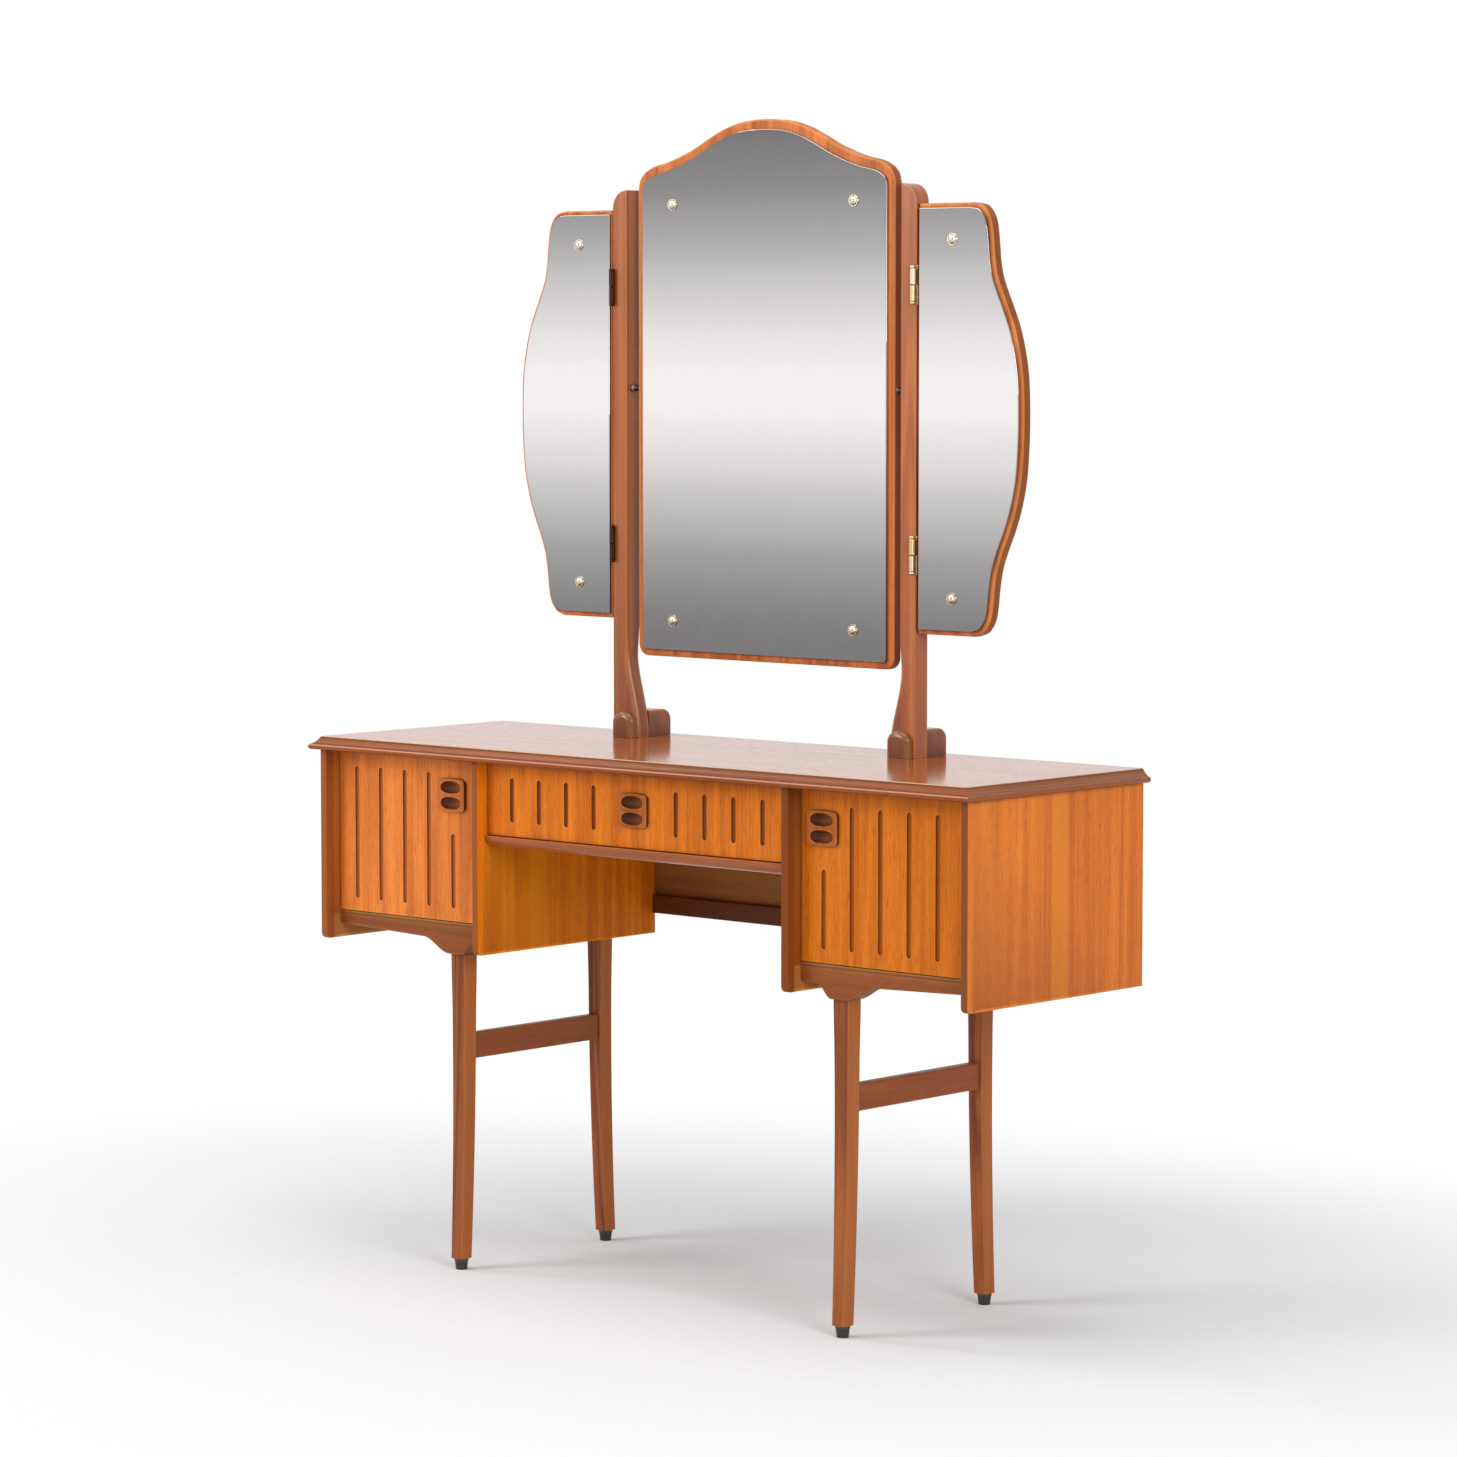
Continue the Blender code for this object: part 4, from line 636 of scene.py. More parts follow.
def make_grain_group():
    """Wood grain along Z: growth rings from the sine of a stretched noise, fine lines, short
    dark pores and slow patches, as a colour, a roughness and a height."""
    tree, given, result = new_group(
        "wood grain",
        (("Vector", "Vector", None), ("Light", "Color", (0.7, 0.3, 0.1, 1)), ("Dark", "Color", (0.4, 0.1, 0.03, 1)),
         ("Pore", "Color", (0.1, 0.03, 0.01, 1)), ("Rings", "Float", 9.0), ("Figure", "Float", 0.4),
         ("Lines", "Float", 0.5), ("Pores", "Float", 0.5), ("Patches", "Float", 0.3), ("Roughness", "Float", 0.4)),
        (("Color", "Color"), ("Roughness", "Float"), ("Height", "Float")))
    vector = given["Vector"]
    swell = noise(tree, vector, (17, 17, 0.85), 2.0, 0.45, 0.25)
    rings = maths(tree, "MULTIPLY_ADD", maths(tree, "SINE", maths(
        tree, "MULTIPLY", swell, maths(tree, "MULTIPLY", given["Rings"], 2 * math.pi))), 0.5, 0.5)
    lines = noise(tree, vector, (330, 330, 5.5), 4.0, 0.62)
    bands = noise(tree, vector, (75, 75, 1.6), 3.0, 0.55)
    patch = noise(tree, vector, (7, 7, 2.2), 2.0, 0.5)
    grain = noise(tree, vector, (1500, 1500, 60), 1.0, 0.5)
    pores = ramp(tree, grain, 0.56, 0.68)
    tone = 0.5
    for value, strength in ((rings, "Figure"), (lines, "Lines"), (bands, "Lines"), (patch, "Patches")):
        tone = maths(tree, "MULTIPLY_ADD", maths(tree, "SUBTRACT", value, 0.5), given[strength], tone)
    tone = maths(tree, "ADD", tone, 0.0, clamp=True)
    colour = mix(tree, tone, given["Light"], given["Dark"])
    colour = mix(tree, maths(tree, "MULTIPLY", pores, given["Pores"]), colour, given["Pore"])
    tree.links.new(colour, result["Color"])
    rough = maths(tree, "MULTIPLY_ADD", maths(tree, "SUBTRACT", lines, 0.5), 0.25, given["Roughness"])
    tree.links.new(maths(tree, "MULTIPLY_ADD", pores, 0.12, rough, clamp=True), result["Roughness"])
    height = maths(tree, "MULTIPLY_ADD", pores, -0.7, maths(tree, "MULTIPLY", lines, 0.6))
    tree.links.new(height, result["Height"])
    return tree


def make_wear_group():
    """Worn edges: the edge value, broken up by noise, as a mask."""
    tree, given, result = new_group(
        "edge wear", (("Edge", "Float", 0.0), ("Vector", "Vector", None), ("Amount", "Float", 0.5)),
        (("Mask", "Float"),))
    spots = noise(tree, given["Vector"], (60, 60, 60), 4.0, 0.65)
    raised = maths(tree, "MULTIPLY_ADD", spots, 0.9, maths(tree, "SUBTRACT", given["Edge"], 0.95))
    mask = ramp(tree, raised, 0.0, 0.45)
    tree.links.new(maths(tree, "MULTIPLY", mask, given["Amount"]), result["Mask"])
    return tree


def make_handling_group():
    """Handling marks: fine scratches and dull smudges, as a roughness and a height."""
    tree, given, result = new_group(
        "handling marks", (("Vector", "Vector", None), ("Roughness", "Float", 0.3), ("Strength", "Float", 0.1)),
        (("Roughness", "Float"), ("Height", "Float"), ("Mask", "Float")))
    smudge = noise(tree, given["Vector"], (38, 38, 38), 3.0, 0.6)
    scratch = noise(tree, given["Vector"], (900, 2600, 240), 2.0, 0.6)
    away = maths(tree, "SUBTRACT", smudge, 0.5)
    rough = maths(tree, "MULTIPLY_ADD", away, given["Strength"], given["Roughness"])
    fine = maths(tree, "MULTIPLY", maths(tree, "SUBTRACT", scratch, 0.5), given["Strength"])
    tree.links.new(maths(tree, "ADD", rough, fine, clamp=True), result["Roughness"])
    tree.links.new(scratch, result["Height"])
    tree.links.new(ramp(tree, smudge, 0.35, 0.7), result["Mask"])
    return tree


GROUPS = {}
SEED_STEPS = (0.731, 1.177, 0.593)
GRAIN_TURNS = {"z": (0, 0, 0), "x": (0, math.pi / 2, 0), "y": (math.pi / 2, 0, 0)}


def start_material(name, tint):
    """A material with its shader and Object coordinates."""
    material = bpy.data.materials.new(name)
    material.use_nodes = True
    material.diffuse_color = (*tint[:3], 1.0)
    tree = material.node_tree
    coordinates = tree.nodes.new("ShaderNodeTexCoord").outputs["Object"]
    return material, tree, tree.nodes["Principled BSDF"], coordinates


def join_shader(tree, shader, tint, roughness, bump=None, metallic=0.0):
    """Joins a finish's colour, roughness and bump, a height, strength and distance, to its
    shader."""
    tree.links.new(tint, shader.inputs["Base Color"])
    tree.links.new(roughness, shader.inputs["Roughness"])
    shader.inputs["Metallic"].default_value = metallic
    if bump:
        raised = node(tree, "ShaderNodeBump", dict(zip(("Height", "Strength", "Distance"), bump)))
        tree.links.new(raised.outputs[0], shader.inputs["Normal"])


def use_group(tree, name, inputs):
    """A shared node group placed in a material with its own values."""
    return node(tree, "ShaderNodeGroup", inputs, node_tree=GROUPS[name]).outputs


# A mask maker takes a tree and its coordinates and gives 1 where a tint goes, else 0


def layer(axis, low, high, soft):
    """A mask maker for the wood between two places along an axis, that fades over a soft width."""
    def mask(tree, coordinates):
        value = place_along(tree, coordinates, axis)
        rise = ramp(tree, value, low - soft, low + soft)
        return maths(tree, "MULTIPLY", rise, ramp(tree, value, high - soft, high + soft, 1.0, 0.0))

    return mask


def overlap(first, second):
    """A mask maker for the wood that two other mask makers have in common."""
    return lambda tree, coordinates: maths(tree, "MULTIPLY", first(tree, coordinates), second(tree, coordinates))


def outside(mask):
    """A mask maker for the wood that another mask maker leaves out."""
    return lambda tree, coordinates: maths(tree, "SUBTRACT", 1.0, mask(tree, coordinates))


def window(low, high, soft):
    """A mask maker for the wood inside an upright rectangle seen from the front."""
    return overlap(layer("X", low[0], high[0], soft), layer("Z", low[1], high[1], soft))


def tinted(colour, shares):
    """A colour with its red, green and blue each multiplied by a share."""
    return tuple(part * share for part, share in zip(colour, shares))


def toned(colour, share, warm=1.0):
    """A colour made lighter or darker by a share; warm keeps more of its red."""
    r, g, b = colour[:3]
    return (min(r * (1 + share), 1.0), min(g * (1 + share * warm), 1.0), min(b * (1 + share * warm), 1.0), 1.0)


def wood(name, colour, grain="z", seed=0, contrast=0.16, rings=5.0, figure=0.3, lines=0.6, pores=0.35,
         patches=0.5, roughness=0.42, bump=0.12, wear=0.35, gloss=0.22, special=()):
    """A wood finish: shared grain and edge wear over one colour, turned so that its grain
    runs along an axis, with tinted places given as (mask maker, tint, strength)."""
    material, tree, shader, coordinates = start_material(name, colour)
    turned_to = node(tree, "ShaderNodeMapping", {
        "Vector": coordinates, "Location": tuple(seed * step for step in SEED_STEPS),
        "Rotation": GRAIN_TURNS[grain]}).outputs[0]
    made = use_group(tree, "wood grain", {
        "Vector": turned_to, "Light": toned(colour, contrast, 1.25), "Dark": toned(colour, -contrast, 1.3),
        "Pore": toned(colour, -0.62, 1.2), "Rings": rings, "Figure": figure, "Lines": lines, "Pores": pores,
        "Patches": patches, "Roughness": roughness})
    tint = made["Color"]
    for mask, shade, strength in special:
        tint = mix(tree, maths(tree, "MULTIPLY", mask(tree, coordinates), strength), tint, shade)
    amount = wear * bpy.context.scene.table_colours.edge_wear * 2
    worn = use_group(tree, "edge wear", {"Edge": own(tree, "edge"), "Vector": coordinates, "Amount": amount})
    tint = mix(tree, worn["Mask"], tint, toned(colour, 0.45, 2.8))
    # Darker in the inner creases: painted shade.
    tint = mix(tree, maths(tree, "MULTIPLY", own(tree, "crease"), 0.55), tint, toned(colour, -0.7, 1.2))
    shader.inputs["Specular IOR Level"].default_value = gloss
    join_shader(tree, shader, tint, made["Roughness"], (made["Height"], bump, 0.0004))
    return material


def metal(name, colour, roughness, marks=0.16, seed=0, dull=(0.5, 0.35, 0.18)):
    """A metal finish with smudged patches of slight tarnish, and fine scratches."""
    material, tree, shader, coordinates = start_material(name, colour)
    moved = node(tree, "ShaderNodeMapping", {"Vector": coordinates, "Location": (seed, seed, seed)}).outputs[0]
    made = use_group(tree, "handling marks", {"Vector": moved, "Roughness": roughness, "Strength": marks})
    tarnish = maths(tree, "MULTIPLY", made["Mask"], maths(tree, "MULTIPLY_ADD", own(tree, "edge"), -0.3, 0.35))
    tint = mix(tree, tarnish, (*colour, 1), (*dull, 1))
    tint = mix(tree, maths(tree, "MULTIPLY", own(tree, "crease"), 0.85), tint, toned(dull, -0.85))
    join_shader(tree, shader, tint, made["Roughness"], (made["Height"], 0.08, 0.0002), 1.0)
    return material


# Heights and values of the painted reflection on the glasses.
MIRROR_REFLECTION = ((0.82, 0.19), (0.90, 0.26), (0.977, 0.42), (1.056, 0.65), (1.134, 0.86), (1.172, 0.90),
                (1.21, 0.87), (1.265, 0.74), (1.343, 0.51), (1.421, 0.312), (1.50, 0.205), (1.53, 0.19))


def silvered(name):
    """Silvered glass: a painted reflection that grows pale towards the middle of its height and
    falls to grey above and below, with faint smudges on it and painted shade on the ground bevel."""
    material, tree, shader, coordinates = start_material(name, (0.6, 0.6, 0.6))
    low, high = MIRROR_REFLECTION[0][0], MIRROR_REFLECTION[-1][0]
    share = node(tree, "ShaderNodeMapRange", {"Value": place_along(tree, coordinates, "Z"), "From Min": low,
                                              "From Max": high}).outputs["Result"]
    painted_shine = node(tree, "ShaderNodeValToRGB", {"Fac": share})
    painted_shine.color_ramp.interpolation = "CARDINAL"
    stops = painted_shine.color_ramp.elements
    while len(stops) < len(MIRROR_REFLECTION):
        stops.new(0.5)
    for stop, (place, value) in zip(stops, MIRROR_REFLECTION):
        stop.position = (place - low) / (high - low)
        stop.color = (value, value * 0.965, value * 0.965, 1)
    made = use_group(tree, "handling marks", {"Vector": coordinates, "Roughness": 0.012, "Strength": 0.02})
    smudge = maths(tree, "MULTIPLY", made["Mask"], 0.03)
    tint = mix(tree, smudge, painted_shine.outputs["Color"], (0.5, 0.5, 0.5, 1))
    # Painted shade on the ground bevel.
    tint = mix(tree, maths(tree, "MULTIPLY", own(tree, "edge"), 0.75), tint, (0.22, 0.19, 0.17, 1))
    join_shader(tree, shader, tint, made["Roughness"], metallic=1.0)
    return material


def moulded_plastic(name, colour):
    """Hard dark plastic: a fine pebbled skin, scuffed paler on its edges."""
    material, tree, shader, coordinates = start_material(name, colour)
    made = use_group(tree, "handling marks", {"Vector": coordinates, "Roughness": 0.48, "Strength": 0.25})
    worn = use_group(tree, "edge wear", {"Edge": own(tree, "edge"), "Vector": coordinates, "Amount": 0.6})
    dusty = mix(tree, maths(tree, "MULTIPLY", made["Mask"], 0.4), (*colour, 1), toned(colour, 1.1, 1.2))
    tint = mix(tree, worn["Mask"], dusty, toned(colour, 2.2, 1.1))
    pebbles = noise(tree, coordinates, (2400, 2400, 2400), 2.0, 0.6)
    join_shader(tree, shader, tint, made["Roughness"], (pebbles, 0.25, 0.0003))
    return material


# ---------------------------------------------------------------- pieces


SHARP_FROM, SHARP_SPAN = 8, 14
SMOOTH_UNDER, BEVEL_SMOOTH_UNDER = 38, 5


def mark_edges(mesh):
    """Stores how sharply the surface turns at each point, outwards as "edge" and inwards as
    "crease": for each edge, the angle between its two faces, less a first angle, over a span
    of angles; for each point, the greatest of its edges."""
    loops, faces, edges = len(mesh.loops), len(mesh.polygons), len(mesh.edges)
    loop_edge = np.empty(loops, np.int32)
    mesh.loops.foreach_get("edge_index", loop_edge)
    totals = np.empty(faces, np.int32)
    mesh.polygons.foreach_get("loop_total", totals)
    normals, centres = np.empty(faces * 3), np.empty(faces * 3)
    mesh.polygons.foreach_get("normal", normals)
    mesh.polygons.foreach_get("center", centres)
    normals, centres = normals.reshape(-1, 3), centres.reshape(-1, 3)
    ends = np.empty(edges * 2, np.int32)
    mesh.edges.foreach_get("vertices", ends)
    face_of_loop = np.repeat(np.arange(faces), totals)
    order = np.argsort(loop_edge, kind="stable")
    if loops != 2 * edges:
        raise RuntimeError(f"{mesh.name} isn't closed")
    first, second = face_of_loop[order[0::2]], face_of_loop[order[1::2]]
    angle = np.degrees(np.arccos(np.clip((normals[first] * normals[second]).sum(1), -1, 1)))
    folds_out = ((centres[second] - centres[first]) * normals[first]).sum(1) < 0
    for name, folded in (("edge", folds_out), ("crease", ~folds_out)):
        value = np.where(folded, np.clip((angle - SHARP_FROM) / SHARP_SPAN, 0, 1), 0)
        points = np.zeros(len(mesh.vertices))
        np.maximum.at(points, ends[0::2], value)
        np.maximum.at(points, ends[1::2], value)
        mesh.attributes.new(name, "FLOAT", "POINT").data.foreach_set("value", points.astype(np.float32))


def new_object(name, data):
    """A new object in the scene."""
    made = bpy.data.objects.new(name, data)
    bpy.context.scene.collection.objects.link(made)
    return made


def place_piece(name, shell, material, nodes, body="case", sharp=SMOOTH_UNDER):
    """Puts a shell into the scene as a piece that rides on a body,
    and stands for CAD nodes."""
    mesh = bpy.data.meshes.new(name)
    mesh.from_pydata(np.concatenate(shell.points), [], shell.faces)
    work = bmesh.new()
    work.from_mesh(mesh)
    bmesh.ops.recalc_face_normals(work, faces=work.faces)
    work.to_mesh(mesh)
    work.free()
    mark_edges(mesh)
    mesh.shade_smooth()
    mesh.set_sharp_from_angle(angle=math.radians(sharp))
    mesh.materials.append(material)
    piece = new_object(name, mesh)
    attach(piece, body)
    if nodes:
        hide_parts(*nodes)


def refinish(names, material):
    """Gives CAD nodes that are kept a better material."""
    for name in names:
        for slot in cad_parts[name].material_slots:
            slot.link = "OBJECT"
            slot.material = material


# Places and sizes of the pieces, from the photograph
LEG_X = 0.336
DOOR_HANDLE_Z = 0.6384
DRAWER_HANDLE_Z = 0.6403
DOOR_GROOVES = {"left": (-0.3354, -0.0458), "right": (0.3145, 0.0458)}
DRAWER_GROOVES = (0.072, 0.1211, 0.1702, 0.2193)
LIPPING, LIPPING_CORNER, PANEL_ROUND = 0.0140, 0.008, 0.0012
SKIN, PAST = 0.0006, 0.001
DOOR_INSET = 0.026
PALE_LEAVES = {"right_outer": (0.164, 0.196), "left_inner": (0.099, 0.131)}
# Painted shade on a board's door-facing side behind the lipping, and painted light on that side below the pedestal
# bottom.
SIDE_SHADE, SIDE_LOWER_LIGHT = (0.13, 0.033, 0.022, 1), (0.62, 0.30, 0.09, 1)
# Shares of the veneer's colour, gloss, shade behind the lipping, and the pale leaf's colour and share
PANEL_LOOKS = {"outer": ((0.97, 0.95, 1), 0.2, 0.5, (0.86, 0.28, 0.03, 1), 0.5),
               "inner": ((1.14, 1.14, 0.35), 0.08, 0.85, (0.86, 0.28, 0.008, 1), 0.8)}
BACK_SHEET, BACK_RAIL_HEIGHT = 0.004, 0.025
DRAWER_RAIL_ROUND = (0.017, 0.0125)
BEECH_LOOK = {"contrast": 0.12, "pores": 0.6, "roughness": 0.5}


class TABLE_OT_finishes(bpy.types.Operator):
    """Builds the node groups that the finishes share"""

    bl_idname = "table.make_finishes"
    bl_label = "Shared Finishes"

    def execute(self, context):
        GROUPS["wood grain"] = make_grain_group()
        GROUPS["edge wear"] = make_wear_group()
        GROUPS["handling marks"] = make_handling_group()
        return {"FINISHED"}


class TABLE_OT_top(bpy.types.Operator):
    """Veneered top, and the mitred moulding with a hollow over a round nose"""

    bl_idname = "table.make_top"
    bl_label = "Table Top"

    def execute(self, context):
        colours = context.scene.table_colours
        refinish(["table_top"], wood(
            "top veneer", toned(colours.veneer, -0.46, 1.12), "x", 1, contrast=0.26, rings=3.0, figure=0.35,
            roughness=0.12, bump=0.03, pores=0.3, gloss=0.4))
        low, high = limits("table_top")
        top, thickness = high[2], high[2] - low[2]
        inner = high[0] + MOULDING_GAP
        front = low[1] - MOULDING_GAP
        out, height = moulding_profile(thickness).T
        reach = inner + out - MITRE_GAP
        spots = np.array([-1, -1, 1, 1])[:, None] * reach + np.array([0, 1, -1, 0])[:, None] * FLAT_MARGIN
        shell = Shell().tube(stack("xyz", spots, front - out, top + height))
        teak = toned(colours.solid_teak, -0.02, 1.1)
        pale, dark = toned(colours.edge_highlight, -0.15), toned(teak, -0.6)
        # Painted highlight along the top edge of the moulding.
        arris_highlight = (layer("Z", top - 0.0007, top + 0.001, 0.0002), pale, 0.75)
        shadow = (layer("Z", top - 0.0030, top - 0.0011, 0.0003), dark, 0.6)
        # Painted shade where the hollow meets the nose.
        corner = (layer("Z", top - COVE_HEIGHT - 0.0004, top - COVE_HEIGHT + 0.0009, 0.0003), dark, 0.65)
        # Painted highlight on the top of the nose, on the front moulding only.
        painted_shine = (layer("Z", top - COVE_HEIGHT - 0.0022, top - COVE_HEIGHT - 0.0008, 0.0003), MOULDING_HIGHLIGHT, 0.5)
        # Painted shade under the nose.
        below = (layer("Z", low[2] - 0.001, low[2] + 0.0012, 0.0006), dark, 0.6)
        place_piece("front_edge_moulding", shell, wood(
            "front moulding teak", teak, "x", 2, contrast=0.36, roughness=0.30, gloss=0.12,
            special=[arris_highlight, shadow, corner, painted_shine, below]), ["front_moulding"])
        for name, side in SIDES:
            mitre = front - out + MITRE_GAP
            rows = np.stack([mitre, mitre + FLAT_MARGIN, np.full(len(out), high[1] - FLAT_MARGIN),
                             np.full(len(out), high[1])])
            shell = Shell().tube(stack("xyz", side * (inner + out), rows, top + height))
            # The side mouldings get the same painted light and shade, without the highlight on the nose.
            place_piece(f"{name}_edge_moulding", shell, wood(
                f"{name} moulding teak", teak, "y", 3 + side, contrast=0.36, roughness=0.28, gloss=0.24,
                special=[arris_highlight, shadow, corner, below]), [f"{name}_moulding"])
        return {"FINISHED"}


class TABLE_OT_panels(bpy.types.Operator):
    """Four veneered side panels, with solid strips let into their front edges"""

    bl_idname = "table.make_panels"
    bl_label = "Side Panels"

    def execute(self, context):
        colours = context.scene.table_colours
        for number, (name, side) in enumerate(SIDES * 2):
            where = "outer" if number < 2 else "inner"
            low, high = limits(f"{name}_{where}_panel")
            joint = low[1] + LIPPING
            corner = low[(1, 2),] + LIPPING_CORNER
            front = np.concatenate([arc(corner, (LIPPING_CORNER, LIPPING_CORNER), 180, 270, 8), [
                (joint - JOINT, low[2]), (joint - JOINT, high[2]), (low[1], high[2])]])
            back = np.array([(joint, low[2]), (high[1], low[2]), (high[1], high[2]), (joint, high[2])])

            shares, gloss, shade, leaf, leaf_share = PANEL_LOOKS[where]
            veneer = tinted(colours.veneer, shares)
            if (side > 0) == (where == "inner"):
                solid, door_side = (low[0] + SKIN, high[0] + PAST), (high[0] - SKIN, high[0] + PAST)
            else:
                solid, door_side = (low[0] - PAST, high[0] - SKIN), (low[0] - PAST, low[0] + SKIN)
            dark = toned(colours.solid_teak, 0.12 if side < 0 else -0.24)
            shell = slab(Shell(), front, low[0], high[0], PANEL_ROUND, "yzx", joined([joint]))
            place_piece(f"{name}_{where}_lipping", shell, wood(
                f"{name} {where} lipping", veneer, "z", 10 + number, contrast=0.2, wear=0.05, gloss=gloss,
                special=[(layer("X", *solid, 0.0001), dark, 0.96),
                         (layer("Y", low[1] - 0.01, low[1] + SKIN, 0.0003), dark, 0.96)]),
                [f"{name}_{where}_panel"])

            on_side = layer("X", *door_side, 0.0001)
            bottom = limits(f"{name}_pedestal_bottom")[0][2]
            # Painted shade in the recess behind the lipping, and painted light below the pedestal bottom.
            special = [(overlap(on_side, layer("Y", joint - PAST, low[1] + DOOR_INSET, 0.0004)), SIDE_SHADE, shade),
                       (overlap(on_side, layer("Z", low[2] - PAST, bottom, 0.0005)), SIDE_LOWER_LIGHT, 0.7)]
            if f"{name}_{where}" in PALE_LEAVES:
                start, end = (PANEL_FRONT + place for place in PALE_LEAVES[f"{name}_{where}"])
                special.append((layer("Y", start, end, 0.0025), leaf, leaf_share))
            shell = slab(Shell(), back, low[0], high[0], PANEL_ROUND, "yzx", joined([joint]))
            place_piece(f"{name}_{where}_board", shell, wood(
                f"{name} {where} veneer", veneer, "z", 20 + number, contrast=0.32, pores=0.45, lines=0.75,
                special=special, wear=0.12, gloss=gloss),
                [f"{name}_{where}_panel"])
        return {"FINISHED"}


class TABLE_OT_case_inside(bpy.types.Operator):
    """Back sheet with its rail, pedestal bottoms, rear rails, runners and door pins"""

    bl_idname = "table.make_case_inside"
    bl_label = "Case Inside"

    def execute(self, context):
        colours = context.scene.table_colours
        ply = wood("back plywood", toned(colours.plywood, 0.12), "x", 31, contrast=0.34, rings=2.5, figure=0.6,
                   lines=0.25, patches=1.5, roughness=0.6, gloss=0.1)
        low, high = limits("back_panel")
        rail_bottom, sheet_bottom = low[2], limits("left_pedestal_bottom")[0][2]
        shell = board(Shell(), (low[0], high[1] - BACK_SHEET, sheet_bottom), high)
        place_piece("back_sheet", shell, ply, ["back_panel"])
        half = limits("drawer_rail")[1][0]
        shell = board(Shell(), (-half, low[1], rail_bottom),
                      (half, high[1] - BACK_SHEET - JOINT, rail_bottom + BACK_RAIL_HEIGHT), 0.001)
        place_piece("back_rail", shell, wood("back rail teak", toned(colours.solid_teak, -0.62), "x", 32),
                    ["back_panel"])
        low, high = limits("left_pedestal_bottom")
        lower_half = layer("Z", low[2] - 0.001, (low[2] + high[2]) / 2, 0.0004)
        refinish([f"{name}_pedestal_bottom" for name, _ in SIDES], wood(
            "bottom plywood", tinted(toned(colours.plywood, 0.35), (1, 0.92, 0.8)), "x", 33, contrast=0.25,
            roughness=0.55, special=[(lower_half, toned(colours.solid_teak, -0.35), 0.7)]))
        refinish([f"{name}_drawer_runner" for name, _ in SIDES], wood(
            "runner beech", colours.beech, "y", 34, **BEECH_LOOK))
        refinish([f"{name}_rear_rail" for name, _ in SIDES], wood(
            "rear rail beech", colours.beech, "x", 35, **BEECH_LOOK))
        steel = metal("pin steel", (0.35, 0.34, 0.33), 0.35, dull=(0.16, 0.14, 0.12))
        refinish([f"{name}_door_{place}_pin" for name, _ in SIDES for place in ("lower", "upper")], steel)
        return {"FINISHED"}


class TABLE_OT_rails(bpy.types.Operator):
    """Front rails with their swept brackets, and the rounded rail below the drawer"""

    bl_idname = "table.make_rails"
    bl_label = "Rails"

    def execute(self, context):
        colours = context.scene.table_colours
        outline = rail_outline(LEG_X)
        for name, side in SIDES:
            low, high = limits(f"{name}_front_rail")
            shell = slab(Shell(), sided(outline, side), low[1], high[1], RAIL_ROUND, "xzy",
                         joined((low[0], high[0]), [outline[:, 1].max()]), RAIL_BACK_ROUND)
            place_piece(f"{name}_bracket_rail", shell, wood(
                f"{name} front rail teak", toned(colours.solid_teak, -0.08), "x", 40 + side, contrast=0.3),
                [f"{name}_front_rail"])
        low, high = limits("drawer_rail")
        size = np.array(DRAWER_RAIL_ROUND)
        outline = np.concatenate([[(low[1], high[2])], arc(low[(1, 2),] + size, size, 180, 270, 14),
                                  [(high[1], low[2]), (high[1], high[2])]])
        shell = slab(Shell(), outline, low[0], high[0], 0.0003, "yzx")
        place_piece("rounded_drawer_rail", shell, wood(
            "drawer rail teak", toned(colours.solid_teak, 0.38, 1.1), "x", 43, contrast=0.4, roughness=0.26,
            gloss=0.35), ["drawer_rail"])
        return {"FINISHED"}


FOOT_TOP = 0.0145
LEG_SHOULDER, LEG_KNEE_WIDTH, LEG_SHOULDER_WIDER, LEG_TAPER, LEG_DEPTH = 0.085, 0.0235, 0.003, 0.0035, 0.021
LEG_END_ROUND, LEG_RINGS = 0.001, 44
FACE_SLOPE, FACE_PLACE = 0.0053, 0.0088
FOOT_SMALL, FOOT_LARGE, FOOT_RIBS, FOOT_RIB_DEPTH = 0.0077, 0.0096, 18, 0.035
LEG_CENTRES = {"front": (0.045, -0.0074), "rear": (0.3085, 0.0102)}


def leg_section(place, height, top):
    """Half width, half depth and middle of a leg at heights: straight shoulders, then a
    taper, and a sweep that grows with the square of the distance below the shoulder."""
    knee = top - LEG_SHOULDER
    below = np.clip((height - FOOT_TOP) / (knee - FOOT_TOP), 0, 1)
    width = np.where(height > knee, LEG_KNEE_WIDTH + LEG_SHOULDER_WIDER * ease((height - knee) / LEG_SHOULDER),
                     LEG_KNEE_WIDTH - LEG_TAPER * (1 - below))
    depth = LEG_DEPTH + LEG_TAPER * (height - FOOT_TOP) / (top - FOOT_TOP)
    centre, sweep = LEG_CENTRES[place]
    return width / 2, depth / 2, PANEL_FRONT + centre + sweep * (1 - below) ** 2


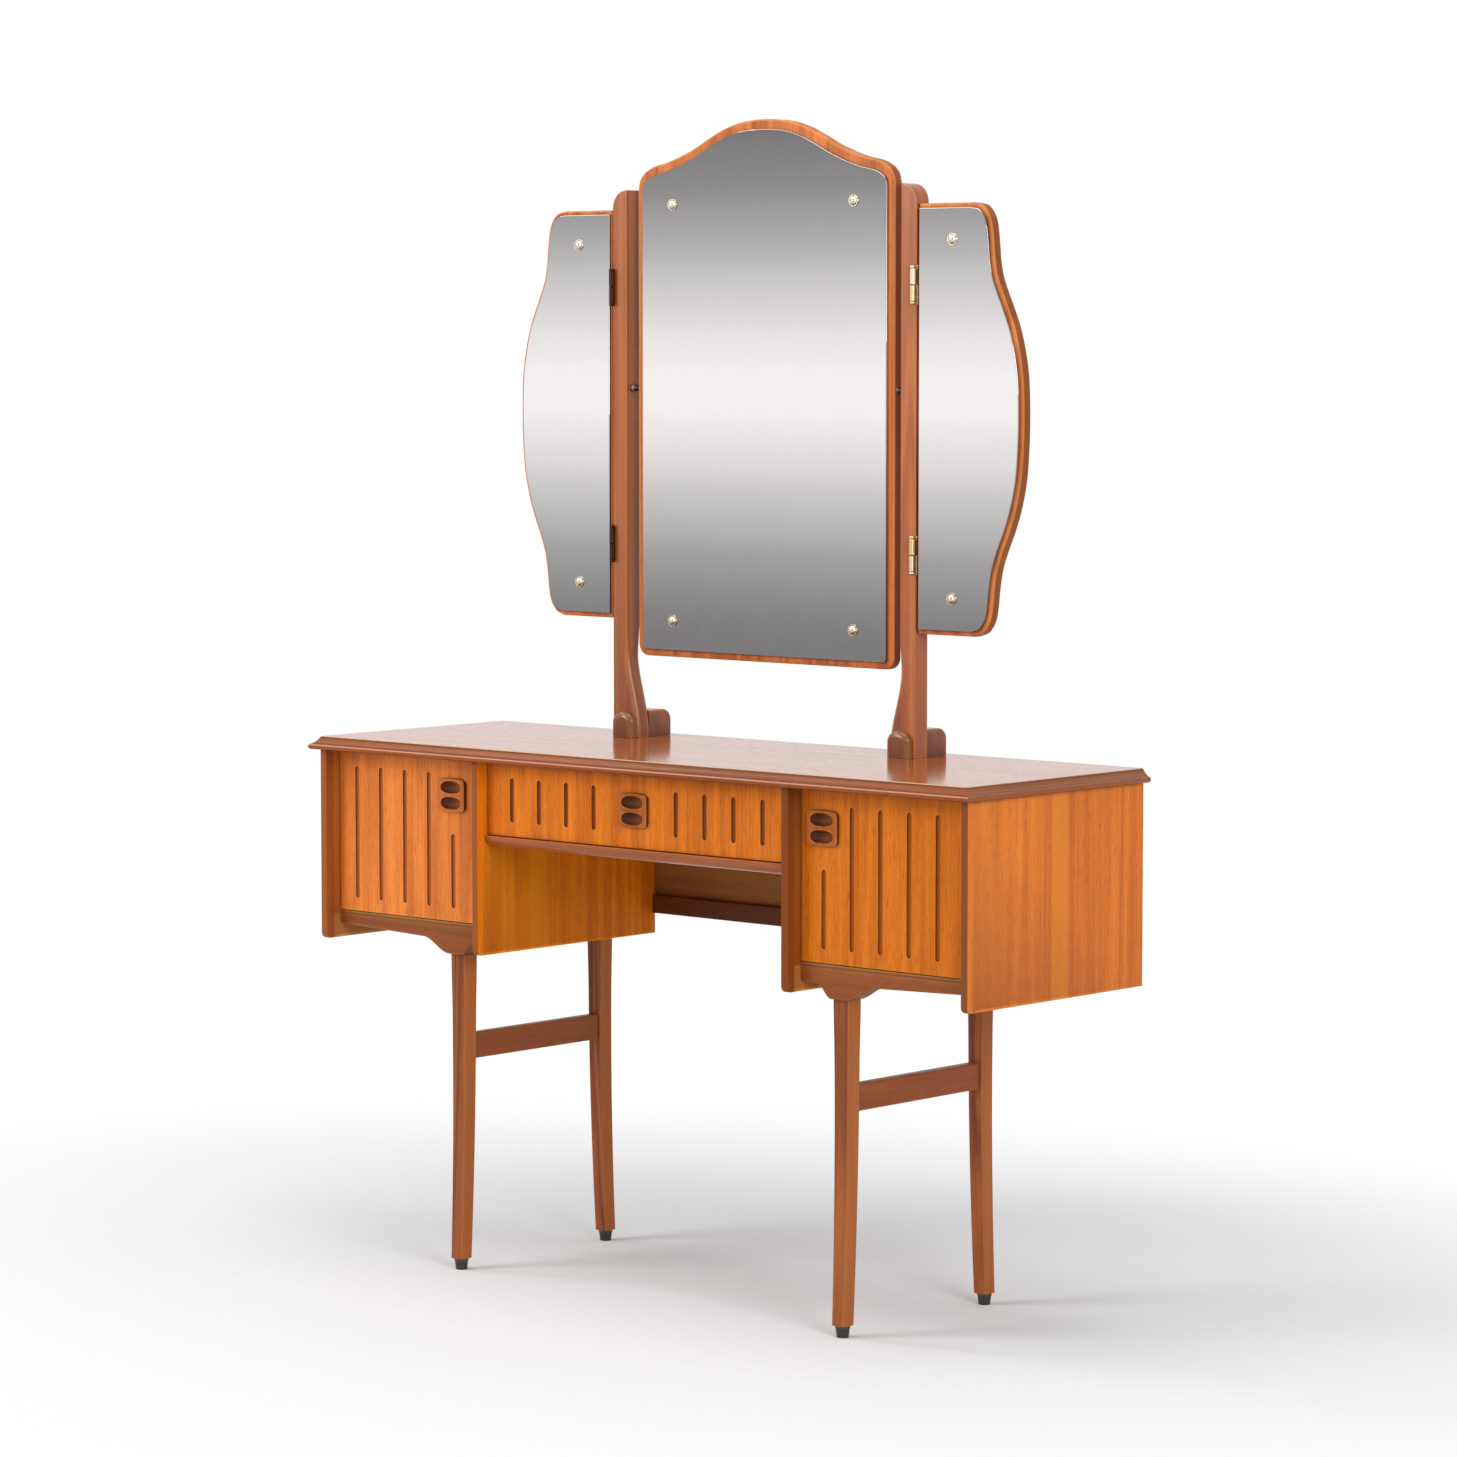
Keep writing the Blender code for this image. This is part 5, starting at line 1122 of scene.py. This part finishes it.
class TABLE_OT_legs(bpy.types.Operator):
    """Four swept, tapering legs, the stretchers between them and the plastic feet"""

    bl_idname = "table.make_legs"
    bl_label = "Legs"

    def execute(self, context):
        sizes, colours = context.scene.table_sizes, context.scene.table_colours
        plastic = moulded_plastic("foot plastic", colours.plastic)
        for number, (name, side) in enumerate(SIDES * 2):
            place = "front" if number < 2 else "rear"
            low, high = limits(f"{name}_{place}_leg")
            bottom, top = low[2], high[2]
            rise, into = quarter(LEG_END_ROUND)
            height = np.concatenate([[bottom], bottom + rise, np.linspace(bottom + 0.004, top - 0.002, LEG_RINGS),
                                     [top]])
            drawn = np.concatenate([[LEG_END_ROUND + FLAT_MARGIN], into, np.zeros(LEG_RINGS + 1)])
            half_x, half_y, middle = leg_section(place, height, top)
            x, y = sections(half_x - drawn, half_y - drawn, np.maximum(sizes.leg_round - drawn * 0.4, 0.0005))
            shell = Shell().tube(stack("xyz", side * (LEG_X + x), middle[:, None] + y, height[:, None]))

            # Painted light: the right faces are lighter than the fronts.
            def lit_right_face(tree, coordinates):
                edge = maths(tree, "MULTIPLY_ADD", place_along(tree, coordinates, "Z"), FACE_SLOPE,
                             side * LEG_X + FACE_PLACE)
                past = maths(tree, "SUBTRACT", place_along(tree, coordinates, "X"), edge)
                return ramp(tree, past, -0.0006, 0.0008)

            place_piece(f"{name}_{place}_swept_leg", shell, wood(
                f"{name} {place} leg teak", toned(colours.solid_teak, -0.08), "z", 50 + number, contrast=0.46,
                rings=9.0, figure=0.6, lines=0.9,
                special=[(lit_right_face, toned(colours.solid_teak, 0.6, 1.4), 0.75)]),
                [f"{name}_{place}_leg"])

            low, high = limits(f"{name}_{place}_foot")
            centre = ((low[0] + high[0]) / 2, (low[1] + high[1]) / 2, 0)
            rings = np.concatenate([FOOT_SMALL - np.array([0.0022, 0.0008, 0.0002, 0]),
                                    FOOT_LARGE - np.array([0.0008, 0.0002, 0, 0, 0.0003, 0.002])])
            levels = np.concatenate([[0, 0, 0.0002, 0.0008],
                                     high[2] - np.array([0.0032, 0.0030, 0.0027, 0.0005, 0, 0])])
            ribbed = np.isin(np.arange(len(rings)), (3, 4))[:, None]

            def ribs(turn):
                return 1 - FOOT_RIB_DEPTH * (0.5 - 0.5 * np.cos(FOOT_RIBS * turn)) * ribbed

            shell = turned(Shell(), rings, levels, centre, count=108, ripple=ribs)
            place_piece(f"{name}_{place}_ribbed_foot", shell, plastic, [f"{name}_{place}_foot"])
        for name, side in SIDES:
            low, high = limits(f"{name}_stretcher")
            middle = (low + high) / 2
            x, z = sections(np.array([(high[0] - low[0]) / 2]), np.array([(high[2] - low[2]) / 2]), sizes.leg_round)
            outline = np.stack([middle[0] + x[0], middle[2] + z[0]], 1)
            shell = slab(Shell(), outline, low[1], high[1], 0.0002, "xzy")
            place_piece(f"{name}_leg_stretcher", shell, wood(
                f"{name} stretcher teak", toned(colours.solid_teak, 0.02), "y", 60 + side, contrast=0.28),
                [f"{name}_stretcher"])
        return {"FINISHED"}


FRONT_ROUND = 0.001
UNDER_TOP_SHADE = (0.13, 0.045, 0.02, 1)
DOOR_GROOVE_BELOW, DOOR_GROOVE_ABOVE, SHORT_GROOVE, DRAWER_GROOVE_MARGIN = 0.0175, 0.021, 0.0995, 0.0186


def veneered_front(name, colour, low, high, hollows, seed, floor, gloss):
    """A grooved, veneered front: its veneer, a painted shadow under the top, the walls that the
    grooves cut into the core, dark with the core's colour and painted shade, and the floor of
    the grooves."""
    scene = bpy.context.scene
    low_corner, high_corner = low[(0, 2),], high[(0, 2),]
    shell = Shell()
    ring = hollowed_front(shell, low_corner + FRONT_ROUND, high_corner - FRONT_ROUND, low[1], hollows)
    sides_and_back(shell, ring, low[1], high[1], FRONT_ROUND)

    deep = low[1] + scene.table_sizes.groove_depth
    on_floor = overlap(window(low_corner + 0.006, high_corner - 0.006, 0.001),
                       layer("Y", deep - 0.0008, deep + 0.0006, 0.0002))
    # Painted shadow under the top.
    under_top = layer("Z", high[2] - 0.0045, high[2] + 0.01, 0.0025)
    # Dark walls and sides: the core's colour with painted shade.
    core_and_shade_walls = layer("Y", low[1] + 0.0003, high[1] - 0.0008, 0.0002)
    return shell, wood(name, colour, "z", seed, contrast=0.36, pores=0.5, lines=0.8, wear=0.55, gloss=gloss,
                       special=[(under_top, UNDER_TOP_SHADE, 0.3),
                                (core_and_shade_walls, toned(scene.table_colours.solid_teak, -0.55), 0.85),
                                (on_floor, floor, 0.85)])


class TABLE_OT_doors(bpy.types.Operator):
    """Two grooved doors"""

    bl_idname = "table.make_doors"
    bl_label = "Doors"

    def execute(self, context):
        sizes, colours = context.scene.table_sizes, context.scene.table_colours
        for name, side in SIDES:
            low, high = limits(f"{name}_door")
            first, pitch = DOOR_GROOVES[name]
            bottom, top = low[2] + DOOR_GROOVE_BELOW, high[2] - DOOR_GROOVE_ABOVE
            size = (sizes.groove_width, sizes.groove_depth)
            hollows = [groove(first, bottom, bottom + SHORT_GROOVE, *size), handle_recess((first, DOOR_HANDLE_Z))]
            hollows += [groove(first + pitch * k, bottom, top, *size) for k in range(1, 5)]
            shares, gloss = ((1, 1.04, 1.3), 0.22) if side < 0 else ((0.85, 0.83, 0.4), 0.12)
            colour = tinted(colours.veneer, shares)
            shell, veneer = veneered_front(f"{name} door veneer", colour, low, high, hollows, 70 + side,
                                           toned(colour, -0.28, 1.3), gloss)
            place_piece(f"{name}_grooved_door", shell, veneer, [f"{name}_door"], f"{name}_door")
        return {"FINISHED"}


class TABLE_OT_drawer(bpy.types.Operator):
    """Grooved drawer front, and the drawer box behind it"""

    bl_idname = "table.make_drawer"
    bl_label = "Drawer"

    def execute(self, context):
        sizes, colours = context.scene.table_sizes, context.scene.table_colours
        low, high = limits("drawer_front")
        hollows = [groove(side * x, low[2] + DRAWER_GROOVE_MARGIN, high[2] - DRAWER_GROOVE_MARGIN,
                          sizes.groove_width, sizes.groove_depth) for _, side in SIDES for x in DRAWER_GROOVES]
        hollows.append(handle_recess((0.0, DRAWER_HANDLE_Z)))
        shell, veneer = veneered_front("drawer veneer", tinted(colours.veneer, (0.95, 0.93, 0.5)), low, high,
                                       hollows, 74, toned(colours.solid_teak, -0.05), 0.12)
        place_piece("grooved_drawer_front", shell, veneer, ["drawer_front"], "drawer")
        refinish(["drawer_left_side", "drawer_right_side"],
                 wood("drawer side beech", colours.beech, "y", 75, **BEECH_LOOK))
        refinish(["drawer_back"], wood("drawer back beech", colours.beech, "x", 76, **BEECH_LOOK))
        refinish(["drawer_bottom"], wood("drawer bottom plywood", toned(colours.plywood, 0.3), "x", 77,
                                         contrast=0.2, rings=8, figure=0.6, roughness=0.55))
        return {"FINISHED"}


class TABLE_OT_handles(bpy.types.Operator):
    """Three handle blocks, each with two finger scoops"""

    bl_idname = "table.make_handles"
    bl_label = "Handles"

    def execute(self, context):
        sizes, colours = context.scene.table_sizes, context.scene.table_colours
        rows = (("left_door_handle", "left_door", DOOR_GROOVES["left"][0], DOOR_HANDLE_Z, 0.75),
                ("right_door_handle", "right_door", DOOR_GROOVES["right"][0], DOOR_HANDLE_Z, 0.42),
                ("drawer_handle", "drawer", 0.0, DRAWER_HANDLE_Z, 0.35))
        for number, (name, body, across, height, lighter) in enumerate(rows):
            low, high = limits(name)
            shell = handle(Shell(), (across, height), low[1], high[1], sizes.scoop_depth)
            middle, half = np.array([across, height]), np.array(HANDLE_HALF)
            left_low, right_high = middle - half, middle + half

            # The painted shade in the scoops grows lighter towards the right.
            def shade_fades_right(tree, coordinates):
                return ramp(tree, place_along(tree, coordinates, "X"), across - 0.010, across + 0.017, 1.0, 0.5)

            # Painted shade inside the scoops and on the block's sides.
            scoop_shade = overlap(overlap(window(left_low + 0.0040, right_high - 0.0026, 0.0003),
                                       layer("Y", low[1] + 0.0011, high[1], 0.0005)), shade_fades_right)
            on_side = overlap(outside(window(left_low + HANDLE_EDGE, right_high - HANDLE_EDGE, 0.0003)),
                              layer("Y", low[1] + 0.0014, high[1] + 0.001, 0.0004))
            place_piece(f"{name}_block", shell, wood(
                f"{name} teak".replace("_", " "), toned(colours.solid_teak, lighter), "z", 80 + number,
                contrast=0.32, rings=7, figure=0.4, roughness=0.45, wear=0.6, gloss=0.1,
                special=[(scoop_shade, SCOOP_SHADE, 0.95), (on_side, SCOOP_SHADE, 0.85)]), [name], body)
        return {"FINISHED"}


BLOCK_WIDTH, BLOCK_HEIGHT = 0.038, 0.0355
FRONT_BLOCK, FRONT_BLOCK_ARCH, REAR_BLOCK = 0.0102, 0.0150, (0.0447, 0.015)
FRONT_BLOCK_ROUND, REAR_BLOCK_ROUND = 0.0085, 0.0035
POST_DEPTH = 0.026
FLARE_START, FLARE_FADE, FLARE_ROUNDER = 0.03, 0.05, 4


class TABLE_OT_posts(bpy.types.Operator):
    """Two mirror posts with flared feet and a block in front of and behind each"""

    bl_idname = "table.make_posts"
    bl_label = "Mirror Posts"

    def execute(self, context):
        sizes, colours = context.scene.table_sizes, context.scene.table_colours
        for number, (name, side) in enumerate(SIDES):
            low = limits(f"{name}_post")[0]
            face = low[1] + FRONT_BLOCK
            back = face + POST_DEPTH
            outer = limits("right_post")[1][0]
            inner = outer - POST_WIDTH + JOINT

            def rounder_flare(points):
                below = low[2] + POST_FLARE_HEIGHT + FLARE_START - points[:, 1]
                return 1 + FLARE_ROUNDER * (side * points[:, 0] < inner) * ease(below / FLARE_FADE)

            colour = toned(colours.mirror_teak, -0.15 if side < 0 else 0.02)
            # Painted shade on the post's inner side.
            shaded_inner_side = layer("X", *sorted((side * (inner - 0.03), side * (inner - 0.0002))), 0.0006)
            teak = wood(f"{name} post teak", colour, "z", 90 + number, contrast=0.36, rings=7, figure=0.4,
                        roughness=0.2, gloss=0.4, special=[(shaded_inner_side, toned(colour, -0.62), 0.42)])
            shell = slab(Shell(), sided(post_outline(), side), face, back, sizes.post_round, "xzy",
                         joined(up=[low[2]]), soft=rounder_flare)
            place_piece(f"{name}_flared_post", shell, teak, [f"{name}_post"])

            middle = side * (outer - POST_FOOT_WIDTH / 2)
            arch = arc((0, BLOCK_HEIGHT - FRONT_BLOCK_ARCH), (BLOCK_WIDTH / 2, FRONT_BLOCK_ARCH), 0, 180, 24)
            outline = np.concatenate([[(-BLOCK_WIDTH / 2, 0), (BLOCK_WIDTH / 2, 0)], arch]) + (middle, low[2])
            front_block = slab(Shell(), outline, low[1], face - JOINT, FRONT_BLOCK_ROUND, "xzy",
                               joined(up=[low[2]]), 0.0003)
            depth, rounding = REAR_BLOCK
            outline = np.concatenate([[(0, 0), (depth, 0)], arc(
                (depth - rounding, BLOCK_HEIGHT - rounding), (rounding, rounding), 0, 90, 12), [(0, BLOCK_HEIGHT)]])
            start = back + JOINT
            rear_block = slab(Shell(), outline + (start, low[2]), middle - BLOCK_WIDTH / 2,
                              middle + BLOCK_WIDTH / 2, REAR_BLOCK_ROUND, "yzx", joined([start], [low[2]]))
            for place, shell, darker in (("front", front_block, -0.5), ("rear", rear_block, -0.32)):
                place_piece(f"{name}_{place}_foot_block", shell, wood(
                    f"{name} {place} block teak", toned(colours.mirror_teak, darker), "z", 94 + number,
                    contrast=0.36, roughness=0.2, gloss=0.45), [f"{name}_post"])
        return {"FINISHED"}


# Height at the top of the centre board that the painted shade on the edges leaves out.
UNSHADED_CROWN = 0.06
GLASS_INSET, GLASS_DROP, WING_GLASS_INSET, WING_GLASS_REACH = 0.011, 0.002, 0.006, 0.0035
CENTRE_SCREWS = ((-0.158, 0.158), (0.867, 1.4195))
WING_SCREWS = (0.3255, (0.9135, 1.368))


class TABLE_OT_mirrors(bpy.types.Operator):
    """The shaped boards of the three mirrors"""

    bl_idname = "table.make_mirrors"
    bl_label = "Mirror Boards"

    def execute(self, context):
        sizes, colours = context.scene.table_sizes, context.scene.table_colours
        rows = [("mirror_board", "centre_mirror", mirror_outline())]
        rows += [(f"{name}_wing_board", f"{name}_wing", sided(wing_outline(), side)) for name, side in SIDES]
        for number, (name, body, outline) in enumerate(rows):
            low, high = limits(name)
            shell = slab(Shell(), outline, low[1], high[1], sizes.board_round, "xzy", back_radius=0.0008)
            colour = toned(colours.mirror_teak, 0.25, 1.1)
            # Painted shade on the boards' edges.
            shaded_edge = overlap(layer("Z", low[2] - 0.01, high[2] - (UNSHADED_CROWN if number == 0 else 0), 0.01),
                              layer("Y", low[1] + 0.0020, high[1] - 0.0008, 0.0006))
            place_piece(f"shaped_{name}", shell, wood(
                f"{name} teak".replace("_", " "), colour, "z", 100 + number, contrast=0.4, rings=6, figure=0.45,
                gloss=0.14, special=[(shaded_edge, toned(colour, -0.6), 0.75)]), [name], body)
        return {"FINISHED"}


class TABLE_OT_glasses(bpy.types.Operator):
    """The silvered glasses, with a ground bevel round each"""

    bl_idname = "table.make_glasses"
    bl_label = "Mirror Glasses"

    def execute(self, context):
        sizes = context.scene.table_sizes
        silver = silvered("silvered glass")
        rows = [("mirror_glass", "centre_mirror", drawn_in(mirror_outline(), GLASS_INSET) - (0, GLASS_DROP))]
        wing = drawn_in(wing_outline(), WING_GLASS_INSET)
        wing[wing[:, 0] < wing[:, 0].min() + 1e-5, 0] -= WING_GLASS_REACH
        rows += [(f"{name}_wing_glass", f"{name}_wing", sided(wing, side)) for name, side in SIDES]
        for name, body, outline in rows:
            low, high = limits(name)
            shell = slab(Shell(), outline, low[1], high[1], sizes.glass_bevel, "xzy", back_radius=0.0003)
            place_piece(f"bevelled_{name}", shell, silver, [name], body, BEVEL_SMOOTH_UNDER)
        return {"FINISHED"}


SCREW_RADIUS, SCREW_RIM, SCREW_DOME = 0.0061, 0.0004, 0.0052
RECESS_HALF, RECESS_REACH, RECESS_FADE, RECESS_DEPTH = 0.0011, 0.0034, 0.0003, 0.0006


def screw_head(shell, centre, face):
    """A dome-headed screw in a cup washer: each ring's height is a quarter ellipse of its
    radius, less a cross-shaped recess that fades out at a third of the radius."""
    washer_radii = np.array([0.0063, 0.0074, 0.0076, 0.0076, 0.0073, 0.0069, 0.0066, 0.0064])
    washer_rise = np.array([0, 0, 0.0003, 0.0012, 0.0018, 0.0018, 0.0013, 0.0004])
    turned(shell, washer_radii, face - washer_rise, (centre[0], 0, centre[1]), "y")
    turn = np.linspace(0, 2 * math.pi, 64, endpoint=False)
    turns = [14, 26, 36, 45, 53, 60, 65, 70, 75, 80, 84, 87.5]
    share = np.concatenate([[0.93, 0.99, 1.0], np.cos(np.radians(turns))])
    radius = SCREW_RADIUS * share[:, None]
    rise = SCREW_RIM + SCREW_DOME * np.sqrt(np.clip(1 - share ** 2, 0, 1))[:, None]
    rise[:2] = (0.0,), (SCREW_RIM / 2,)
    x, z = radius * np.cos(turn), radius * np.sin(turn)
    slot = ease((RECESS_HALF - np.minimum(np.abs(x), np.abs(z))) / RECESS_FADE)
    recess = slot * ease((RECESS_REACH - radius) / RECESS_FADE) * RECESS_DEPTH
    shell.tube(stack("xzy", centre[0] + x, centre[1] + z, face - rise + recess))


class TABLE_OT_screws(bpy.types.Operator):
    """The eight screws that hold the glasses"""

    bl_idname = "table.make_screws"
    bl_label = "Glass Screws"

    def execute(self, context):
        brass = metal("screw brass", (0.74, 0.69, 0.58), 0.3, 0.1, dull=(0.42, 0.34, 0.22))
        rows = [("centre_mirror", "mirror_glass", *CENTRE_SCREWS)]
        rows += [(f"{name}_wing", f"{name}_wing_glass", (side * WING_SCREWS[0],), WING_SCREWS[1])
                 for name, side in SIDES]
        for body, glass, columns, levels in rows:
            shell = Shell()
            for across in columns:
                for level in levels:
                    screw_head(shell, (across, level), limits(glass)[0][1])
            place_piece(f"{body}_glass_screws", shell, brass, (), body)
        return {"FINISHED"}


HINGE_X, HINGE_Y, KNUCKLE, LEAF = 0.262, PANEL_FRONT + 0.2568, 0.0034, 0.001
HALF_GAP, BEAD, LEAF_ROUND = 0.0002, 0.005, 0.0002
KNUCKLE_START = np.array([0, 0.0003, 0.0008])
KNUCKLE_END = np.array([0.0048, 0.0044, 0.0040, 0.0034, 0.0026, 0.0014, 0.0004, 0])
KNUCKLE_SHARES = np.array([0.6, 0.8, 1, 1, 0.9, 0.82, 0.9, 1.0, 0.97, 0.72, 0.3])
PIVOT_Z = 1.1765


class TABLE_OT_hinges(bpy.types.Operator):
    """Four lift-off hinges: turned knuckles with beaded ends, and their leaves"""

    bl_idname = "table.make_hinges"
    bl_label = "Hinges"

    def execute(self, context):
        pale = metal("pale hinge brass", (0.60, 0.50, 0.40), 0.34)
        yellow = metal("yellow hinge brass", (0.60, 0.45, 0.22), 0.34, seed=3)
        # Painted shade: the left hinges' brass is made nearly black.
        shaded = metal("tarnished hinge brass", (0.045, 0.019, 0.010), 0.45, dull=(0.020, 0.008, 0.004))
        for name, side in SIDES:
            for place in ("lower", "upper"):
                for half, body in (("post", "case"), ("wing", f"{name}_wing")):
                    leaf = f"{name}_{place}_{half}_leaf"
                    low, high = limits(leaf)
                    shell = Shell()
                    way = 1 if half == "wing" else -1
                    left, right = (high[0] - LEAF, high[0]) if side > 0 else (low[0], low[0] + LEAF)
                    neck_left, neck_right = sorted((side * HINGE_X, right if side > 0 else left))
                    joint = (low[2] + high[2]) / 2 + way * HALF_GAP
                    end = (high if way > 0 else low)[2]
                    neck_low, neck_high = sorted((joint, end - way * BEAD))
                    places = np.concatenate([KNUCKLE_START, abs(end - joint) - KNUCKLE_END])
                    turned(shell, KNUCKLE * KNUCKLE_SHARES, joint + way * places, (side * HINGE_X, HINGE_Y, 0))
                    near, far = HINGE_Y - LEAF / 2, HINGE_Y + LEAF / 2
                    for corners in (((left, HINGE_Y + KNUCKLE + 0.0003, low[2]), (right, high[1], high[2])),
                                    ((neck_left, near, neck_low), (neck_right, far, neck_high)),
                                    ((left, near, neck_low), (right, HINGE_Y + KNUCKLE + 0.0006, neck_high))):
                        board(shell, *corners, LEAF_ROUND)
                    brass = shaded if side < 0 else pale if (place == "upper") == (half == "wing") else yellow
                    place_piece(f"{name}_{place}_hinge_{half}_half", shell, brass, [leaf], body)
        return {"FINISHED"}


class TABLE_OT_pivots(bpy.types.Operator):
    """The pivot screws of the centre mirror, with their turned collars"""

    bl_idname = "table.make_pivots"
    bl_label = "Mirror Pivots"

    def execute(self, context):
        steel = metal("pivot steel", (0.30, 0.27, 0.24), 0.3, dull=(0.10, 0.08, 0.06))
        mirror_edge = limits("mirror_board")[1][0]
        outer = limits("right_post")[1][0]
        inner = outer - POST_WIDTH
        middle_y = limits("right_post")[0][1] + FRONT_BLOCK + POST_DEPTH / 2
        places = np.concatenate([outer - np.array([0.0005, 0.0005, 0.0008, 0.0045, 0.0045]),
                                 inner - np.array([0.0005, 0.0005, 0.0010, 0.0040, 0.0062]),
                                 mirror_edge + np.array([0.0022, 0.0010, 0.0005, 0.0005, -0.0135, -0.0140])])
        radii = np.array([0.0035, 0.0050, 0.0055, 0.0055, 0.0030, 0.0030, 0.0048, 0.0055, 0.0055, 0.0040,
                          0.0038, 0.0043, 0.0040, 0.0030, 0.0030, 0.0022])
        for name, side in SIDES:
            shell = turned(Shell(), radii, side * places, (0, middle_y, PIVOT_Z), "x")
            place_piece(f"{name}_pivot_screw", shell, steel, [f"{name}_mirror_pivot"])
        return {"FINISHED"}


# ---------------------------------------------------------------- stage


FLOOR_STRETCH, FLOOR_FADE, FLOOR_HALF = (0.8, 1.0, 0.0), (0.45, 1.5), 30
LAMP_TARGET = (0.0, 0.0, 0.75)
LAMPS = (("left front lamp", (-2.4, -3.6, 2.6), 88.0, 2.2), ("right lamp", (3.7, -1.6, 2.0), 64.0, 2.0),
         ("top lamp", (0.3, -0.4, 3.4), 26.0, 2.4), ("high left lamp", (-2.7, -0.8, 3.6), 22.0, 0.9))


def shown_white(tree):
    """1 for rays that the camera, a mirror or clear glass sees, 0 for light on the object."""
    path = tree.nodes.new("ShaderNodeLightPath").outputs
    seen = maths(tree, "ADD", path["Is Camera Ray"], path["Is Glossy Ray"])
    return maths(tree, "ADD", seen, path["Is Transmission Ray"], clamp=True)


class TABLE_OT_stage(bpy.types.Operator):
    """Pale floor, white surroundings, soft lamps and the camera at the photograph's angle"""

    bl_idname = "table.make_stage"
    bl_label = "Stage"

    def execute(self, context):
        scene = context.scene
        world = bpy.data.worlds.new("studio")
        scene.world = world
        world.use_nodes = True
        tree = world.node_tree
        tree.nodes.clear()
        seen = shown_white(tree)
        soft = node(tree, "ShaderNodeBackground", {"Color": (0.95, 0.97, 1.0, 1), "Strength": 0.42})
        white = node(tree, "ShaderNodeBackground", {"Color": (1, 1, 1, 1), "Strength": 1.0})
        both = node(tree, "ShaderNodeMixShader", {0: seen, 1: soft.outputs[0], 2: white.outputs[0]})
        node(tree, "ShaderNodeOutputWorld", {"Surface": both.outputs[0]})

        floor_material = bpy.data.materials.new("pale floor")
        floor_material.use_nodes = True
        tree = floor_material.node_tree
        tree.nodes.clear()
        coordinates = tree.nodes.new("ShaderNodeTexCoord").outputs["Object"]
        flat = node(tree, "ShaderNodeVectorMath", {0: coordinates, 1: FLOOR_STRETCH}, operation="MULTIPLY")
        away = node(tree, "ShaderNodeVectorMath", {0: flat.outputs[0]}, operation="LENGTH").outputs["Value"]
        far = maths(tree, "MULTIPLY", ramp(tree, away, *FLOOR_FADE), shown_white(tree))
        speckle = noise(tree, coordinates, (40, 40, 40), 3.0)
        tint = mix(tree, speckle, (0.90, 0.90, 0.90, 1), (0.93, 0.93, 0.93, 1))
        matt = node(tree, "ShaderNodeBsdfDiffuse", {"Color": tint})
        glow = node(tree, "ShaderNodeEmission", {"Color": (1, 1, 1, 1), "Strength": 1.0})
        both = node(tree, "ShaderNodeMixShader", {0: far, 1: matt.outputs[0], 2: glow.outputs[0]})
        node(tree, "ShaderNodeOutputMaterial", {"Surface": both.outputs[0]})
        span = np.linspace(-FLOOR_HALF, FLOOR_HALF, 5)
        across, along = np.meshgrid(span, span)
        shell = Shell()
        shell.quads(shell.add(stack("xyz", across, along, 0.0)))
        mesh = bpy.data.meshes.new("floor")
        mesh.from_pydata(np.concatenate(shell.points), [], shell.faces)
        mesh.materials.append(floor_material)
        floor = new_object("floor", mesh)

        for name, place, power, size in LAMPS:
            light = bpy.data.lights.new(name, "AREA")
            light.shape = "DISK"
            light.size = size
            light.energy = power
            lamp = new_object(name, light)
            aim = np.array(LAMP_TARGET) - place
            lamp.location = place
            lamp.rotation_euler = (math.atan2(math.hypot(aim[0], aim[1]), -aim[2]), 0,
                                   math.atan2(aim[1], aim[0]) - math.pi / 2)

        camera_data = bpy.data.cameras.new("camera")
        camera_data.lens = 121.38
        camera_data.sensor_width = 36.0
        camera_data.clip_end = 100.0
        camera = new_object("camera", camera_data)
        camera.location = (4.2722, -4.7325, 1.2525)
        camera.rotation_euler = (math.radians(90 - 4.626), 0, math.radians(41.893))
        scene.camera = camera
        scene.view_settings.view_transform = "Standard"
        return {"FINISHED"}


# ---------------------------------------------------------------- add-on


OPERATORS = (
    TABLE_OT_finishes, TABLE_OT_stage, TABLE_OT_top, TABLE_OT_panels, TABLE_OT_case_inside, TABLE_OT_rails,
    TABLE_OT_legs, TABLE_OT_doors, TABLE_OT_drawer, TABLE_OT_handles, TABLE_OT_posts, TABLE_OT_mirrors,
    TABLE_OT_glasses, TABLE_OT_screws, TABLE_OT_hinges, TABLE_OT_pivots)


class TABLE_PT_pieces(bpy.types.Panel):
    """Lists the dressing table's pieces, sizes and colours"""

    bl_idname = "TABLE_PT_pieces"
    bl_label = "Teak Dressing Table"
    bl_space_type = "VIEW_3D"
    bl_region_type = "UI"
    bl_category = "Table"

    def draw(self, context):
        for group in (context.scene.table_sizes, context.scene.table_colours):
            box = self.layout.box()
            for name in group.bl_rna.properties.keys():
                if name not in ("rna_type", "name"):
                    box.prop(group, name)
        column = self.layout.column(align=True)
        for operator in OPERATORS:
            column.operator(operator.bl_idname)


CLASSES = (TableSizes, TableColours) + OPERATORS + (TABLE_PT_pieces,)


def register():
    for cls in CLASSES:
        bpy.utils.register_class(cls)
    bpy.types.Scene.table_sizes = bpy.props.PointerProperty(type=TableSizes)
    bpy.types.Scene.table_colours = bpy.props.PointerProperty(type=TableColours)


def unregister():
    del bpy.types.Scene.table_colours
    del bpy.types.Scene.table_sizes
    for cls in reversed(CLASSES):
        bpy.utils.unregister_class(cls)


def main():
    """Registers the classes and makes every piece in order."""
    register()
    for operator in OPERATORS:
        group, name = operator.bl_idname.split(".")
        getattr(getattr(bpy.ops, group), name)()


if __name__ == "__main__":
    main()
